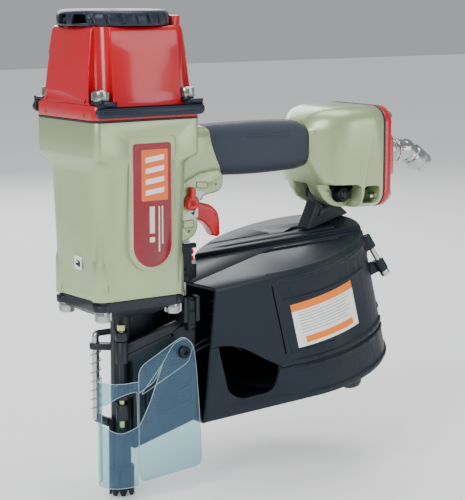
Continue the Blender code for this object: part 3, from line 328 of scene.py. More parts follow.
def prism(outline, along, low, high):
    place = {"X": lambda a, b: (low, a, b), "Y": lambda a, b: (a, low, b), "Z": lambda a, b: (a, b, low)}
    bm = bmesh.new()
    face = bm.faces.new([bm.verts.new(place[along](a, b)) for a, b in outline])
    grown = bmesh.ops.extrude_face_region(bm, geom=[face])
    lifted = [v for v in grown["geom"] if isinstance(v, bmesh.types.BMVert)]
    step = Vector({"X": (1, 0, 0), "Y": (0, 1, 0), "Z": (0, 0, 1)}[along])
    bmesh.ops.translate(bm, verts=lifted, vec=step * (high - low))
    return meshFrom(bm)


def slab(outline, radius, along, low, high, steps=5):
    return prism(smoothed(outline, radius, steps), along, low, high)


def hexagon(radius, low, high):
    return prism([(radius * cos(pi * k / 3), radius * sin(pi * k / 3)) for k in range(6)], "Z", low, high)


def rect(a0, a1, b0, b1):
    return [(a0, b0), (a1, b0), (a1, b1), (a0, b1)]


def block(x0, x1, y0, y1, z0, z1):
    return prism(rect(x0, x1, y0, y1), "Z", z0, z1)


def roundBox(halfA, halfB, radius, a=0.0, b=0.0, steps=8):
    points = []
    for corner in range(4):
        centreA = a + (halfA - radius) * (1 if corner in (0, 3) else -1)
        centreB = b + (halfB - radius) * (1 if corner < 2 else -1)
        for i in range(steps + 1):
            angle = (corner + i / steps) * pi / 2
            points.append((centreA + radius * cos(angle), centreB + radius * sin(angle)))
    return points


def bar(a0, b0, a1, b1, radius, steps=10):
    lean = atan2(b1 - b0, a1 - a0)
    points = []
    for (a, b), start in (((a1, b1), lean - pi / 2), ((a0, b0), lean + pi / 2)):
        for i in range(steps + 1):
            angle = start + pi * i / steps
            points.append((a + radius * cos(angle), b + radius * sin(angle)))
    return points


def smoothed(corners, radius, steps=5):
    # an outline with its corners rounded
    points = []
    count = len(corners)
    for i in range(count):
        here = Vector(corners[i])
        before = Vector(corners[i - 1]) - here
        after = Vector(corners[(i + 1) % count]) - here
        reach = min(radius, before.length * 0.45, after.length * 0.45)
        first = here + before.normalized() * reach
        last = here + after.normalized() * reach
        for k in range(steps + 1):
            t = k / steps
            point = first * (1 - t) ** 2 + here * 2 * t * (1 - t) + last * t ** 2
            points.append((point.x, point.y))
    return points


def loft(sections, along="Z", bend=None):
    # joins outlines of equal length; bend may shift each point
    bm = bmesh.new()
    rings = []
    for place, outline in sections:
        ring = []
        for a, b in outline:
            point = Vector((a, b, place)) if along == "Z" else Vector((place, a, b))
            ring.append(bm.verts.new(bend(point) if bend else point))
        rings.append(ring)
    for low, high in zip(rings, rings[1:]):
        for i in range(len(low)):
            j = (i + 1) % len(low)
            bm.faces.new((low[i], low[j], high[j], high[i]))
    bm.faces.new(rings[0])
    bm.faces.new(rings[-1])
    return meshFrom(bm)


def moved(obj, x=0.0, y=0.0, z=0.0):
    obj.data.transform(Matrix.Translation((x, y, z)))
    return obj


def turned(obj, degrees, axis="Z"):
    obj.data.transform(Matrix.Rotation(radians(degrees), 4, axis))
    return obj


def aimed(obj, direction, at):
    turn = Vector((0, 0, 1)).rotation_difference(Vector(direction)).to_matrix().to_4x4()
    obj.data.transform(Matrix.Translation(Vector(at)) @ turn)
    return obj


def lengthways(obj, x, y=0.0, z=0.0):
    return aimed(obj, (1, 0, 0), (x, y, z))


def crossways(obj, x, z, y=0.0, side=1):
    return aimed(obj, (0, side, 0), (x, y, z))


def mirrored(obj):
    obj.data.transform(Matrix.Scale(-1, 4, (0, 1, 0)))
    obj.data.flip_normals()
    return obj


def bolted(target, tool, operation):
    change = target.modifiers.new("shape", "BOOLEAN")
    change.operation = operation
    change.solver = "EXACT"
    change.object = tool
    result = target.evaluated_get(bpy.context.evaluated_depsgraph_get())
    mesh = bpy.data.meshes.new_from_object(result)
    bm = bmesh.new()
    bm.from_mesh(mesh)
    bmesh.ops.remove_doubles(bm, verts=bm.verts, dist=0.004)
    bmesh.ops.dissolve_degenerate(bm, edges=bm.edges, dist=0.002)
    bm.to_mesh(mesh)
    bm.free()
    target.modifiers.remove(change)
    target.data = mesh
    bpy.data.objects.remove(tool)
    return target


def cut(target, *tools):
    for tool in tools:
        bolted(target, tool, "DIFFERENCE")
    return target


def joined(target, *tools):
    for tool in tools:
        bolted(target, tool, "UNION")
    return target


def drilled(target, holes, radius, low, high, sides=32):
    # upright holes at each of the places
    for x, y in holes:
        cut(target, moved(rod(radius, low, high, sides), x, y))


def kept(target, tool):
    return bolted(target, tool, "INTERSECT")


def merged(objs):
    # several loose shapes as one object
    bm = bmesh.new()
    for obj in objs:
        bm.from_mesh(obj.data)
        bpy.data.objects.remove(obj)
    return meshAsIs(bm)


def plain(obj):
    # the evaluated mesh, with no modifiers left
    mesh = bpy.data.meshes.new_from_object(obj.evaluated_get(bpy.context.evaluated_depsgraph_get()))
    obj.modifiers.clear()
    obj.data = mesh
    return obj


def softened(obj, width, segments=2, angle=32):
    obj.data.shade_smooth()
    edge = obj.modifiers.new("edge", "BEVEL")
    edge.width = width
    edge.segments = segments
    edge.limit_method = "ANGLE"
    edge.angle_limit = radians(angle)
    edge.use_clamp_overlap = False
    edge.harden_normals = True
    return plain(obj)


def shown(obj, name, finish, body="frame", nodes=(), angle=38, sharp=True):
    # takes a finished shape to metres and hands it to its body
    if sharp:
        obj.data.shade_smooth()
        obj.data.set_sharp_from_angle(angle=radians(angle))
    obj.data.transform(toMetres)
    obj.name = name
    obj.data.name = name
    obj.data.materials.clear()
    obj.data.materials.append(finishes[finish])
    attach(obj, body)
    if nodes:
        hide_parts(*nodes)
    return obj


# geometry node trees for what repeats or follows a path

class Growth:
    # a geometry node tree with named inputs, which ends in Realize Instances and Set Material
    def __init__(self, name, inputs):
        self.tree = bpy.data.node_groups.new(name, "GeometryNodeTree")
        face = self.tree.interface
        face.new_socket("Geometry", in_out="INPUT", socket_type="NodeSocketGeometry")
        self.ids = {}
        for label, kind in inputs.items():
            self.ids[label] = face.new_socket(label, in_out="INPUT",
                                              socket_type="NodeSocket" + kind).identifier
        self.ids["Material"] = face.new_socket("Material", in_out="INPUT",
                                               socket_type="NodeSocketMaterial").identifier
        face.new_socket("Geometry", in_out="OUTPUT", socket_type="NodeSocketGeometry")
        self.start = self.tree.nodes.new("NodeGroupInput")

    def node(self, kind, settings=None, sockets=None):
        made = self.tree.nodes.new(kind)
        for label, value in (settings or {}).items():
            setattr(made, label, value)
        for label, value in (sockets or {}).items():
            if isinstance(value, bpy.types.NodeSocket):
                self.tree.links.new(value, made.inputs[label])
            else:
                made.inputs[label].default_value = value
        return made

    def given(self, label):
        return self.start.outputs[label]

    def maths(self, operation, first, second):
        return self.node("ShaderNodeMath", {"operation": operation}, {0: first, 1: second}).outputs[0]

    def end(self, geometry):
        real = self.node("GeometryNodeRealizeInstances", sockets={"Geometry": geometry})
        coat = self.node("GeometryNodeSetMaterial", sockets={"Geometry": real.outputs[0],
                                                             "Material": self.given("Material")})
        output = self.tree.nodes.new("NodeGroupOutput")
        self.tree.links.new(coat.outputs[0], output.inputs[0])


def grown(growth, base, finish, **values):
    change = base.modifiers.new("growth", "NODES")
    change.node_group = growth.tree
    for label, value in values.items():
        change[growth.ids[label]] = value
    change[growth.ids["Material"]] = finishes[finish]
    return plain(base)


def ringTree():
    # copies of a template round Z, each turned to face outwards
    growth = Growth("ringOfCopies", {"Template": "Object", "Count": "Int", "Radius": "Float",
                                     "Start": "Float", "Pitch": "Float"})
    number = growth.node("GeometryNodeInputIndex").outputs[0]
    angle = growth.maths("ADD", growth.maths("MULTIPLY", number, growth.given("Pitch")),
                         growth.given("Start"))
    across = growth.maths("MULTIPLY", growth.maths("COSINE", angle, 0.0), growth.given("Radius"))
    along = growth.maths("MULTIPLY", growth.maths("SINE", angle, 0.0), growth.given("Radius"))
    place = growth.node("ShaderNodeCombineXYZ", sockets={0: across, 1: along}).outputs[0]
    turn = growth.node("ShaderNodeCombineXYZ", sockets={2: angle}).outputs[0]
    points = growth.node("GeometryNodePoints", sockets={"Count": growth.given("Count"), "Position": place})
    shape = growth.node("GeometryNodeObjectInfo", sockets={"Object": growth.given("Template")})
    copies = growth.node("GeometryNodeInstanceOnPoints", sockets={"Points": points.outputs[0],
                                                                  "Instance": shape.outputs["Geometry"],
                                                                  "Rotation": turn})
    growth.end(copies.outputs[0])
    return growth


def placesTree():
    # a copy of a template at each vertex of the base
    growth = Growth("copiesAtPlaces", {"Template": "Object"})
    shape = growth.node("GeometryNodeObjectInfo", sockets={"Object": growth.given("Template")})
    copies = growth.node("GeometryNodeInstanceOnPoints", sockets={"Points": growth.given("Geometry"),
                                                                  "Instance": shape.outputs["Geometry"]})
    growth.end(copies.outputs[0])
    return growth


def beadTree():
    # a round bead along the base's edges
    growth = Growth("beadAlongPath", {"Radius": "Float", "Sides": "Int"})
    path = growth.node("GeometryNodeMeshToCurve", sockets={"Mesh": growth.given("Geometry")})
    ring = growth.node("GeometryNodeCurvePrimitiveCircle", sockets={"Resolution": growth.given("Sides"),
                                                                    "Radius": growth.given("Radius")})
    bead = growth.node("GeometryNodeCurveToMesh", sockets={"Curve": path.outputs[0],
                                                           "Profile Curve": ring.outputs[0],
                                                           "Fill Caps": True})
    growth.end(bead.outputs[0])
    return growth


ringOfCopies, copiesAtPlaces, beadAlongPath = ringTree(), placesTree(), beadTree()


def places(points, closed=False, edges=False):
    # a base of loose points, or of points joined into a path
    mesh = bpy.data.meshes.new("places")
    links = [(i, i + 1) for i in range(len(points) - 1)] if edges else []
    if closed:
        links.append((len(points) - 1, 0))
    mesh.from_pydata([tuple(p) for p in points], links, [])
    return placed("places", mesh)


def ringed(template, count, radius, start, pitch, finish):
    result = grown(ringOfCopies, places([(0, 0, 0)]), finish, Template=template, Count=count, Radius=radius,
                   Start=radians(start), Pitch=radians(pitch))
    bpy.data.objects.remove(template)
    return result


def bead(points, radius, finish, closed=False, sides=10):
    return grown(beadAlongPath, places(points, closed, True), finish, Radius=radius, Sides=sides)


def corners(x, y):
    return [(-x, -y), (x, -y), (-x, y), (x, y)]


# camera, light and floor

view = {"target": (112.0, 0.0, 191.0), "azimuth": -36.0, "elevation": 9.0, "distance": 1428.0, "lens": 122.4}


def makeCamera(v):
    turn, rise = radians(v["azimuth"]), radians(v["elevation"])
    back = Vector((sin(turn) * cos(rise), -cos(turn) * cos(rise), sin(rise)))
    target = toMetres @ Vector(v["target"])
    data = bpy.data.cameras.new("camera")
    data.lens = v["lens"]
    data.sensor_width = 36.0
    data.sensor_fit = "AUTO"
    camera = placed("camera", data)
    camera.location = target + back * v["distance"] * 0.001
    camera.rotation_euler = back.to_track_quat("Z", "Y").to_euler()
    bpy.context.scene.camera = camera


def softLight(name, place, size, power):
    data = bpy.data.lights.new(name, "AREA")
    data.shape = "RECTANGLE"
    data.size, data.size_y = size
    data.energy = power
    lamp = placed(name, data)
    lamp.location = place
    aim = Vector((0.0, 0.0, 0.2)) - Vector(place)
    lamp.rotation_euler = aim.to_track_quat("-Z", "Y").to_euler()


# each light: place and size in metres, power in watts
studioSizes = {"sky": (0.93, 0.96, 1.0, 1.0), "skyStrength": 0.42, "floor": 0.92, "floorGlow": 0.22,
               "floorHalf": 6.0, "lights": {"keyLight": ((-1.5, -0.75, 1.3), (0.9, 1.3), 27),
                                            "fillLight": ((0.9, -1.9, 0.7), (1.2, 1.2), 12),
                                            "topLight": ((0.2, 0.1, 1.9), (1.4, 1.0), 18),
                                            "backLight": ((0.6, 1.7, 1.1), (1.2, 1.0), 18)}}


def makeStudio(s):
    for name, lamp in s["lights"].items():
        softLight(name, *lamp)
    world = bpy.data.worlds.new("studio")
    bpy.context.scene.world = world
    world.use_nodes = True
    sky = world.node_tree.nodes["Background"].inputs
    sky["Color"].default_value = s["sky"]
    sky["Strength"].default_value = s["skyStrength"]
    floor = meshFrom(floorMesh(s["floorHalf"]))
    floor.name = "floor"
    paint = Paint("floorPaint", (s["floor"],) * 3, 0.8, Emission_Color=(1.0, 1.0, 1.0, 1.0),
                  Emission_Strength=s["floorGlow"])
    paint.set("Base Color", paint.shades(paint.noise(2), 0.985, 1.01))
    floor.data.materials.append(paint.material)


def floorMesh(half, drop=-0.0004):
    bm = bmesh.new()
    bm.faces.new([bm.verts.new((x, y, drop)) for x, y in rect(-half, half, -half, half)])
    return bm


makeCamera(view)
makeStudio(studioSizes)
print("studio ready")


# cylinder head

headSizes = {"seam": 309.0, "flangeTop": 321.0, "top": 380.0, "halfX": 48.7, "halfY": 45.0, "boltX": 39.5,
             "boltY": 37.8, "pocket": 8.5, "chamber": 39.0, "coverX": -4.0, "coverRoom": 45.2}


def makeCap(s):
    low = s["seam"] + gap
    x, y = s["halfX"], s["halfY"]
    levels = [(low, 0, 6), (318.5, 0, 6), (321.0, 0.4, 7), (323.5, 1.5, 8.5), (330, 2.1, 10),
              (345, 3.1, 11.5), (360, 4.3, 13), (372, 5.5, 13.5), (376.5, 6.2, 13.5), (378.8, 7.0, 13),
              (s["top"], 8.6, 12.5)]
    cap = loft([(z, roundBox(x - inset, y - inset, radius)) for z, inset, radius in levels])
    ridge = slab([(42.5, -24), (46.5, -20), (46.5, 20), (42.5, 24), (36, 24), (36, -24)], 3, "Z", 366, 387.5)
    joined(cap, ridge)
    cut(cap, moved(rod(s["coverRoom"], s["top"] + 0.02, s["top"] + 20, 96), s["coverX"]))
    gussets = []
    webs = (((31.0, 40.5), (31.0, 44.6), (6.0, 44.8)), ((44.5, 29.0), (48.4, 29.0), (48.3, 12.0)))
    for sideX in (-1, 1):
        for sideY in (-1, 1):
            for start, end, tip in webs:
                gussets.append(wedge([(start, 336), (start, 318), (end, 318), (tip, 318)], sideX, sideY))
    joined(cap, *gussets)
    cut(cap, rod(s["chamber"], low - 1, 350, 48), rod(33, 349, 373, 48))
    vents = [(s["coverX"] + 22 * cos(radians(angle)), 22 * sin(radians(angle))) for angle in (0, 120, 240)]
    drilled(cap, vents, 5, 372, s["top"] + 5)
    drilled(cap, [(s["coverX"], 0)], 3.6, 372, s["top"] + 1)
    for bx, by in corners(s["boltX"], s["boltY"]):
        out = 22 if by > 0 else -22
        cut(cap, prism(bar(bx, by, bx, by + out, s["pocket"], 14), "Z", s["flangeTop"], s["top"] + 20),
            moved(rod(boltHole, low - 1, s["flangeTop"] + 1), bx, by))
    shown(softened(cap, 0.8, 3, 26), "capShell", "redEnamel", nodes=("cylinder_cap",))


def wedge(points, sideX, sideY):
    # a small web that runs down from a bolt pocket to the flange
    bm = bmesh.new()
    made = [bm.verts.new((a * sideX, b * sideY, z)) for (a, b), z in points]
    bmesh.ops.convex_hull(bm, input=made)
    return meshFrom(bm)


coverSizes = {"radius": 44.5, "height": 12.1, "hub": 8.0, "wall": 3.2, "louvres": 9, "firstLouvre": -143.0,
              "pitch": 14.6}


def makeExhaustCover(s, head):
    low = head["top"] + gap + 0.1
    top = low + s["height"]
    r, wall = s["radius"], s["wall"]
    profile = [(7.6, top - 0.6), (9, top), (r - 6.5, top), (r - 3.6, top - 0.7), (r - 1.6, top - 2.0),
               (r - 0.3, top - 4.4), (r, top - 6.5), (r - 0.2, low + 2), (r - 0.9, low),
               (r - 0.9 - wall, low), (r - 0.9 - wall, top - 3.4), (s["hub"], top - 3.4), (s["hub"], low),
               (3.6, low), (3.6, top - 4), (7.6, top - 4)]
    cover = lathe(profile, 112, closed=True)
    for angle in (150, 176, 202):
        window = slab([(-7.2, low + 1.5), (7.2, low + 1.5), (5.6, top - 3.4), (-5.6, top - 3.4)], 1.2, "Y",
                      r - 9, r + 5)
        cut(cover, turned(window, angle - 90))
    groove = prism([(-3.4, low + 1.8), (-0.6, low + 1.8), (2.6, top - 0.4), (0.2, top - 0.4)], "Y", -1.25, 6)
    turned(groove, -90)
    grooves = ringed(groove, s["louvres"], r, s["firstLouvre"], s["pitch"], "guardPlastic")
    cut(cover, grooves)
    moved(softened(cover, 0.35, 2, 34), head["coverX"])
    shown(cover, "exhaustCoverShell", "guardPlastic", "exhaust", ("exhaust_cover",))
    screw = lathe([(0, top - 1.7), (2.1, top - 1.7), (2.4, top - 0.4), (5, top - 0.4), (6.6, top - 1.2),
                   (6.9, top - 2.2), (6.9, top - 3.7), (3.2, top - 3.7), (3.2, 374), (0, 374)], 40)
    shown(moved(screw, head["coverX"]), "exhaustCoverCentreScrew", "steel",
          nodes=("exhaust_cover_screw",))


guardSizes = {"height": 8.4, "depth": 5.5, "lug": 7.5, "thickness": 2.5}


def makeGuard(s, head, side, name, node):
    low, high = head["flangeTop"] - 9.5, head["flangeTop"] + gap + s["thickness"]
    face = head["halfY"] + gap
    half = s["height"] / 2
    middle = low + half
    rail = prism(bar(-44.7, middle, 44.7, middle, half, 12), "Y", face, face + s["depth"])
    for x in (-head["boltX"], head["boltX"]):
        post = slab(rect(x - 7, x + 7, low + 3, high - 0.1), 1.5, "Y", face, face + s["depth"] - 0.1)
        joined(rail, post, prism(bar(x, head["boltY"], x, face + 1, s["lug"], 12), "Z",
                                 head["flangeTop"] + gap, high))
        drilled(rail, [(x, head["boltY"])], boltHole, low, high + 5)
    softened(rail, 1.1, 3, 40)
    line = [(x, face + s["depth"] - 0.25, z) for x, z in bar(-43.5, middle, 43.5, middle, half - 2.4, 10)]
    rib = bead(line, 0.75, "guardPlastic", closed=True)
    both = merged([rail, rib])
    if side < 0:
        mirrored(both)
    shown(both, name, "guardPlastic", nodes=(node,))


screwSizes = {"head": 6.5, "height": 8.0, "socket": 3.6, "shank": 3.8, "washer": 7.9}


def capScrew(s, seat, shank, washer=True, knurls=36):
    # a socket head screw standing on its seat, with its shank below
    h = s["height"]
    head = lathe([(0, seat + h), (s["head"] - 0.9, seat + h), (s["head"] - 0.2, seat + h - 0.7),
                  (s["head"] - 0.2, seat), (s["shank"], seat), (s["shank"], seat - shank), (0, seat - shank)],
                 48)
    cut(head, hexagon(s["socket"], seat + h - 4, seat + h + 1))
    shapes = [softened(head, 0.2, 2, 40)]
    ridge = prism([(-0.35, -0.2), (0.3, 0.0), (-0.35, 0.2)], "Z", seat + 0.6, seat + h - 1.4)
    shapes.append(ringed(ridge, knurls, s["head"] - 0.05, 0, 360 / knurls, "chrome"))
    if washer:
        shapes.append(lathe([(s["head"] + 0.3, seat - 0.05), (s["washer"], seat - 0.4),
                             (s["washer"], seat - 1.9), (s["shank"] + 0.2, seat - 1.9),
                             (s["shank"] + 0.2, seat - 0.05)], 40, closed=True))
    return merged(shapes)


def makeCapScrews(s, head):
    seat = head["flangeTop"] + gap + guardSizes["thickness"] + gap
    template = capScrew(s, seat, 30, washer=False)
    points = places([(x, y, 0) for x, y in corners(head["boltX"], head["boltY"])])
    screws = grown(copiesAtPlaces, points, "chrome", Template=template)
    bpy.data.objects.remove(template)
    shown(screws, "capScrews", "chrome", nodes=[f"cap_bolt_{i}" for i in (1, 2, 3, 4)])


makeCap(headSizes)
makeExhaustCover(coverSizes, headSizes)
makeGuard(guardSizes, headSizes, -1, "guardRailLeft", "guard_bar_left")
makeGuard(guardSizes, headSizes, 1, "guardRailRight", "guard_bar_right")
makeCapScrews(screwSizes, headSizes)
print("head made")


# body, with the name panel

bodySizes = {"bottom": 167.5, "top": 307.9, "bore": 36.0, "boreFloor": 172.0, "noseX": 33.0, "noseY": 27.5,
             "chamberEnd": 243.0, "chamberZ": 265.0, "handleZ": 277.0, "cheek": 16.0, "bracketX": 210.0,
             "bracketZ": 233.5, "slot": 6.3, "pivotX": 58.0, "pivotZ": 237.0, "valveX": 78.0}
panelSizes = {"x": 3.0, "low": 189.5, "high": 295.0, "half": 21.3, "face": -43.7}


def panelOutline(x, low, high, half, radius=4.0):
    # square shoulders at the top, a half round at the bottom
    points = [(x - half, high), (x + half, high)]
    for i in range(25):
        angle = -pi * i / 24
        points.append((x + half * cos(angle), low + half + half * sin(angle)))
    return smoothed(points, radius, 3)


def handleShell(s):
    rows = [(20, 272, 26.5, 23, 12), (34, 272.5, 26, 21, 12), (48, 273, 25.5, 19.5, 12),
            (58, 274.6, 23.6, 18.6, 12), (66, 276.2, 21.8, 18.4, 12), (80, 277, 20.9, 18.3, 12.5),
            (92, 277, 20.8, 18.2, 12.6), (93, 277, 17, 14.5, 11), (176, 277, 17, 14.5, 11),
            (178, 276, 21, 18.5, 12), (183, 273.5, 28, 24.5, 14), (188, 270.5, 34, 30, 16),
            (194, 268, 38.6, 34.6, 17.5), (201, 266.2, 41.6, 38, 18), (207, 265.5, 42.8, 39.8, 17),
            (212, 265.2, 43.2, 40.6, 16), (230, 265, 43.6, 42, 15), (s["chamberEnd"] - 1.1, s["chamberZ"],
                                                                     43.6, 42, 15)]
    return loft([(x, roundBox(halfY, halfZ, radius, 0, z)) for x, z, halfZ, halfY, radius in rows], "X")


gripSizes = {"start": 80.0, "end": 175.0, "halfY": 14.5, "halfZ": 17.0, "radius": 13.0, "rubber": 3.6,
             "crown": 1.25}


def gripShape(g, grow):
    # the rubber sleeve: slanted at the front and hollowed at the rear
    rows = []
    low, high, middle = g["start"], g["end"], bodySizes["handleZ"]
    for t in (0, 0.012, 0.03, 0.12, 0.3, 0.5, 0.7, 0.88, 0.97, 0.988, 1):
        crown = g["crown"] * (1 - (2 * t - 1) ** 2)
        ends = 1.1 if t in (0, 1) else 0.35 if t in (0.012, 0.988) else 0.0
        out = g["rubber"] + crown - ends + grow
        outline = roundBox(g["halfY"] + out, g["halfZ"] + out, g["radius"] + grow, 0, middle)
        rows.append((low + (high - low) * t, outline))

    def lean(point):
        t = (point.x - low) / (high - low)
        drop = middle - point.z
        front = (drop * 0.44 + 0.004 * drop * drop - 1.2) * max(0.0, 1 - t * 2.2) ** 1.3
        rear = (7.5 - 0.021 * drop * drop) * max(0.0, (t - 0.55) / 0.45) ** 1.5
        point.x += front + rear + grow * (2 * t - 1)
        return point
    return loft(rows, "X", lean)


def makeBody(s):
    levels = [(s["bottom"], 39.5, 36.5, 11), (171, 39.9, 36.8, 11.6), (180, 40.3, 37.4, 13),
              (200, 42, 39, 17), (235, 43.5, 40.5, 19), (268, 45, 42, 21), (272, 45.4, 42.3, 20.5),
              (276, 46.6, 43.2, 16), (279.5, 48.4, 44.8, 7), (282, 48.7, 45, 6), (s["top"], 48.7, 45, 6)]
    body = loft([(z, roundBox(x, y, radius)) for z, x, y, radius in levels])
    for x, y in corners(s["noseX"], s["noseY"]):
        boss = lathe([(0, 211), (3, 210), (6.4, 205), (8.2, 198), (8.6, 192), (8.6, s["bottom"]),
                      (0, s["bottom"])], 40)
        joined(body, moved(boss, x, y))
    p = panelSizes
    pad = prism(panelOutline(p["x"], p["low"], p["high"], p["half"]), "Y", p["face"], -38)
    joined(body, pad, handleShell(s))
    under = [(38, 203), (56, 206), (63, 209.5), (66, 215), (66, 233), (68.5, 238.5), (74, 242.2), (86, 243.2),
             (91, 247.5), (91.5, 257), (88, 262), (38, 262)]
    housing = slab(under, 3, "Y", -s["cheek"], s["cheek"], 4)
    joined(body, softened(housing, 1.8, 3, 50))
    for side in (-1, 1):
        face = side * s["cheek"]
        for outline in ([(64, 248.5), (75, 247.6), (75, 252.6), (64, 253.5)], rect(51, 61, 216.5, 222.5)):
            badge = slab(outline, 1, "Y", face - 0.7, face + 0.5)
            joined(body, softened(badge, 0.3, 2, 50))
    step = prism(panelOutline(p["x"], p["low"] - 0.5, p["high"] + 0.5, p["half"] + 0.5), "Y", -60, p["face"])
    cut(body, kept(step, block(-60, 60, -60, -40, 276, 300)))
    cut(body, rod(s["bore"], s["boreFloor"], s["top"] + 5, 64))
    cut(body, rod(24, s["bottom"] - 5, s["boreFloor"] + 5, 48))
    drilled(body, corners(headSizes["boltX"], headSizes["boltY"]), boltHole, 288, s["top"] + 5, 20)
    drilled(body, corners(s["noseX"], s["noseY"]), boltHole, s["bottom"] - 5, s["bottom"] + 19, 20)
    cut(body, lengthways(rod(9, 0, 180), 25, 0, s["handleZ"]))
    cut(body, loft([(192, roundBox(20, 22, 10, 0, 272)), (204, roundBox(30, 31, 12, 0, s["chamberZ"])),
                    (s["chamberEnd"] + 5, roundBox(30, 31, 12, 0, s["chamberZ"]))], "X"))
    for y in (-32.5, 32.5):
        for z in (231.5, 298.5):
            cut(body, lengthways(rod(2.8, 0, 20, 16), s["chamberEnd"] - 14, y, z))
    bx, bz = s["bracketX"], s["bracketZ"]
    for side in (-1, 1):
        recess = slab([(178, 205), (bx + 9, 205), (bx + 9, 240), (bx + 4, 243), (178, 243)], 3, "Y", 20, 60)
        pocket = slab(rect(bx + 11.5, bx + 28, 226, 241), 4, "Y", 24, 60)
        for tool in (recess, pocket):
            cut(body, mirrored(tool) if side < 0 else tool)
    cut(body, block(bx - 40, bx + 22, -8, 8, 205, 243), crossways(rod(boltHole, -30, 30), bx, bz))
    cut(body, prism([(46.5, 199), (102, 199), (102, 250), (92, 250), (72, 244), (52, 244), (52, 222),
                     (46.5, 222)], "Y", -s["slot"], s["slot"]))
    cut(body, crossways(rod(2.8, -25, 25), s["pivotX"], s["pivotZ"]), moved(rod(7.3, 238, 252), s["valveX"]))
    for side in (-1, 1):
        for x, z in ((83.5, 250.2), (57.4, 226.8), (56.2, 213.6), (47.4, 241)):
            cut(body, crossways(rod(1.1, -1.6, 3, 16), x, z, s["cheek"] * side, side))
    cut(body, gripShape(gripSizes, gap))
    softened(body, 0.55, 2, 30)
    shown(body, "bodyShell", "greenEnamel", nodes=("body_casting",), angle=30)


def makeNamePlate(p):
    face = p["face"]
    plate = prism(panelOutline(p["x"] + 0.3, p["low"] + 3.7, p["high"] - 4.6, p["half"] - 3.8, 2.5), "Y",
                  face - 0.5, face + 0.1)
    shown(softened(plate, 0.15, 2, 50), "namePlate", "maroonFoil")
    edge = [(x, face - 0.35, z) for x, z in panelOutline(p["x"] + 0.3, p["low"] + 4.8, p["high"] - 5.7,
                                                         p["half"] - 4.9, 2.5)]
    shown(bead(edge, 0.28, "redEnamel", closed=True, sides=6), "namePlateBorder", "redEnamel")
    patch = slab(rect(-7, 17.5, 245.5, 285.5), 1, "Y", face - 0.75, face - 0.5)
    shown(patch, "namePlatePatch", "orangePrint")
    bars = []
    for z in (251.0, 259.5, 268.0, 276.5):
        bars.append(prism([(-3.2, z - 1.2), (13.8, z + 1.0), (13.8, z + 5.0), (-3.2, z + 2.8)], "Y",
                          face - 0.95, face - 0.72))
    shown(merged(bars), "namePlateBars", "whitePrint", sharp=False)
    marks = ((0.4, 4.6, 213, 217), (0.4, 4.6, 220, 241), (8.6, 1.2, 205, 241), (11.6, 1.2, 211, 241))
    rules = [slab(rect(x, x + wide, low, high), 0.4, "Y", face - 0.7, face - 0.48) for x, wide, low,
             high in marks]
    shown(merged(rules), "namePlateRules", "creamPrint", sharp=False)


def makeSmallDecals(s):
    face = s["cheek"] + 0.02
    low, high = -face - 0.12, -face + 0.1
    patch = [(61.5, 247), (71.6, 244.4), (68.6, 240.6), (65.7, 236), (65.6, 224.8), (52.6, 224.8), (52, 228),
             (61, 231)]
    ring = []
    for r, turns in ((7.0, range(-68, 29, 8)), (8.2, range(28, -69, -8))):
        ring += [(s["pivotX"] + r * cos(radians(a)), s["pivotZ"] + r * sin(radians(a))) for a in turns]
    mark = merged([prism(ring, "Y", low - 0.12, low + 0.05),
                   prism([(58.2, 228.4), (63.2, 229.8), (61.2, 226.2)], "Y", low - 0.12, low + 0.05)])
    shown(mark, "selectorMark", "darkAlloy", sharp=False)
    arrow = prism(patch, "Y", low, high)
    shown(arrow, "selectorArrow", "silverFoil", sharp=False)
    x = -42.6
    patch = slab(rect(-12, -2, 191, 201.5), 1, "X", x - 0.25, x + 0.6)
    shown(patch, "frontPatch", "whitePrint", sharp=False)
    mark = prism([(-10.5, 193), (-3.5, 194.6), (-3.5, 196), (-8, 196.4), (-3.5, 199), (-10.5, 197.6)], "X",
                 x - 0.4, x)
    shown(mark, "frontPatchMark", "darkAlloy", sharp=False)


def makeGrip(g):
    grip = gripShape(g, 0)
    hollow = roundBox(g["halfY"] + gap, g["halfZ"] + gap, 11, 0, bodySizes["handleZ"])
    core = loft([(55, hollow), (195, hollow)], "X")
    cut(grip, core)
    softened(grip, 0.6, 3, 40)
    pads = []
    for side in (-1, 1):
        line = [(112 + 46 * t, side * (19.2 + 0.9 * (1 - (2 * t - 1) ** 2)), 288)
                for t in [i / 12 for i in range(13)]]
        pads.append(bead(line, 0.45, "gripRubber", sides=8))
    shown(merged([grip, *pads]), "gripShell", "gripRubber", nodes=("grip_sleeve",),
          angle=35)


def makeHeadGasket(s):
    gasket = prism(roundBox(s["halfX"] + 0.25, s["halfY"] + 0.25, 6.2), "Z", s["seam"] - 0.8, s["seam"])
    cut(gasket, rod(s["chamber"] - 1, s["seam"] - 5, s["seam"] + 5, 64))
    drilled(gasket, corners(s["boltX"], s["boltY"]), boltHole, s["seam"] - 5, s["seam"] + 5, 20)
    shown(gasket, "headGasket", "blackRubber", nodes=("cap_gasket",))


makeBody(bodySizes)
makeNamePlate(panelSizes)
makeSmallDecals(bodySizes)
makeGrip(gripSizes)
makeHeadGasket(headSizes)
print("body made")


# rear chamber's cap and the air fitting

endSizes = {"seat": 243.3, "plate": 8.0, "rise": 6.0, "z": 265.0, "halfY": 42.0, "halfZ": 43.6,
            "screwY": 32.5, "screwZ": 33.5, "screwHole": 2.8, "boss": 272.0, "knee": 303.0, "nut": 11.0,
            "socket": 2.4}


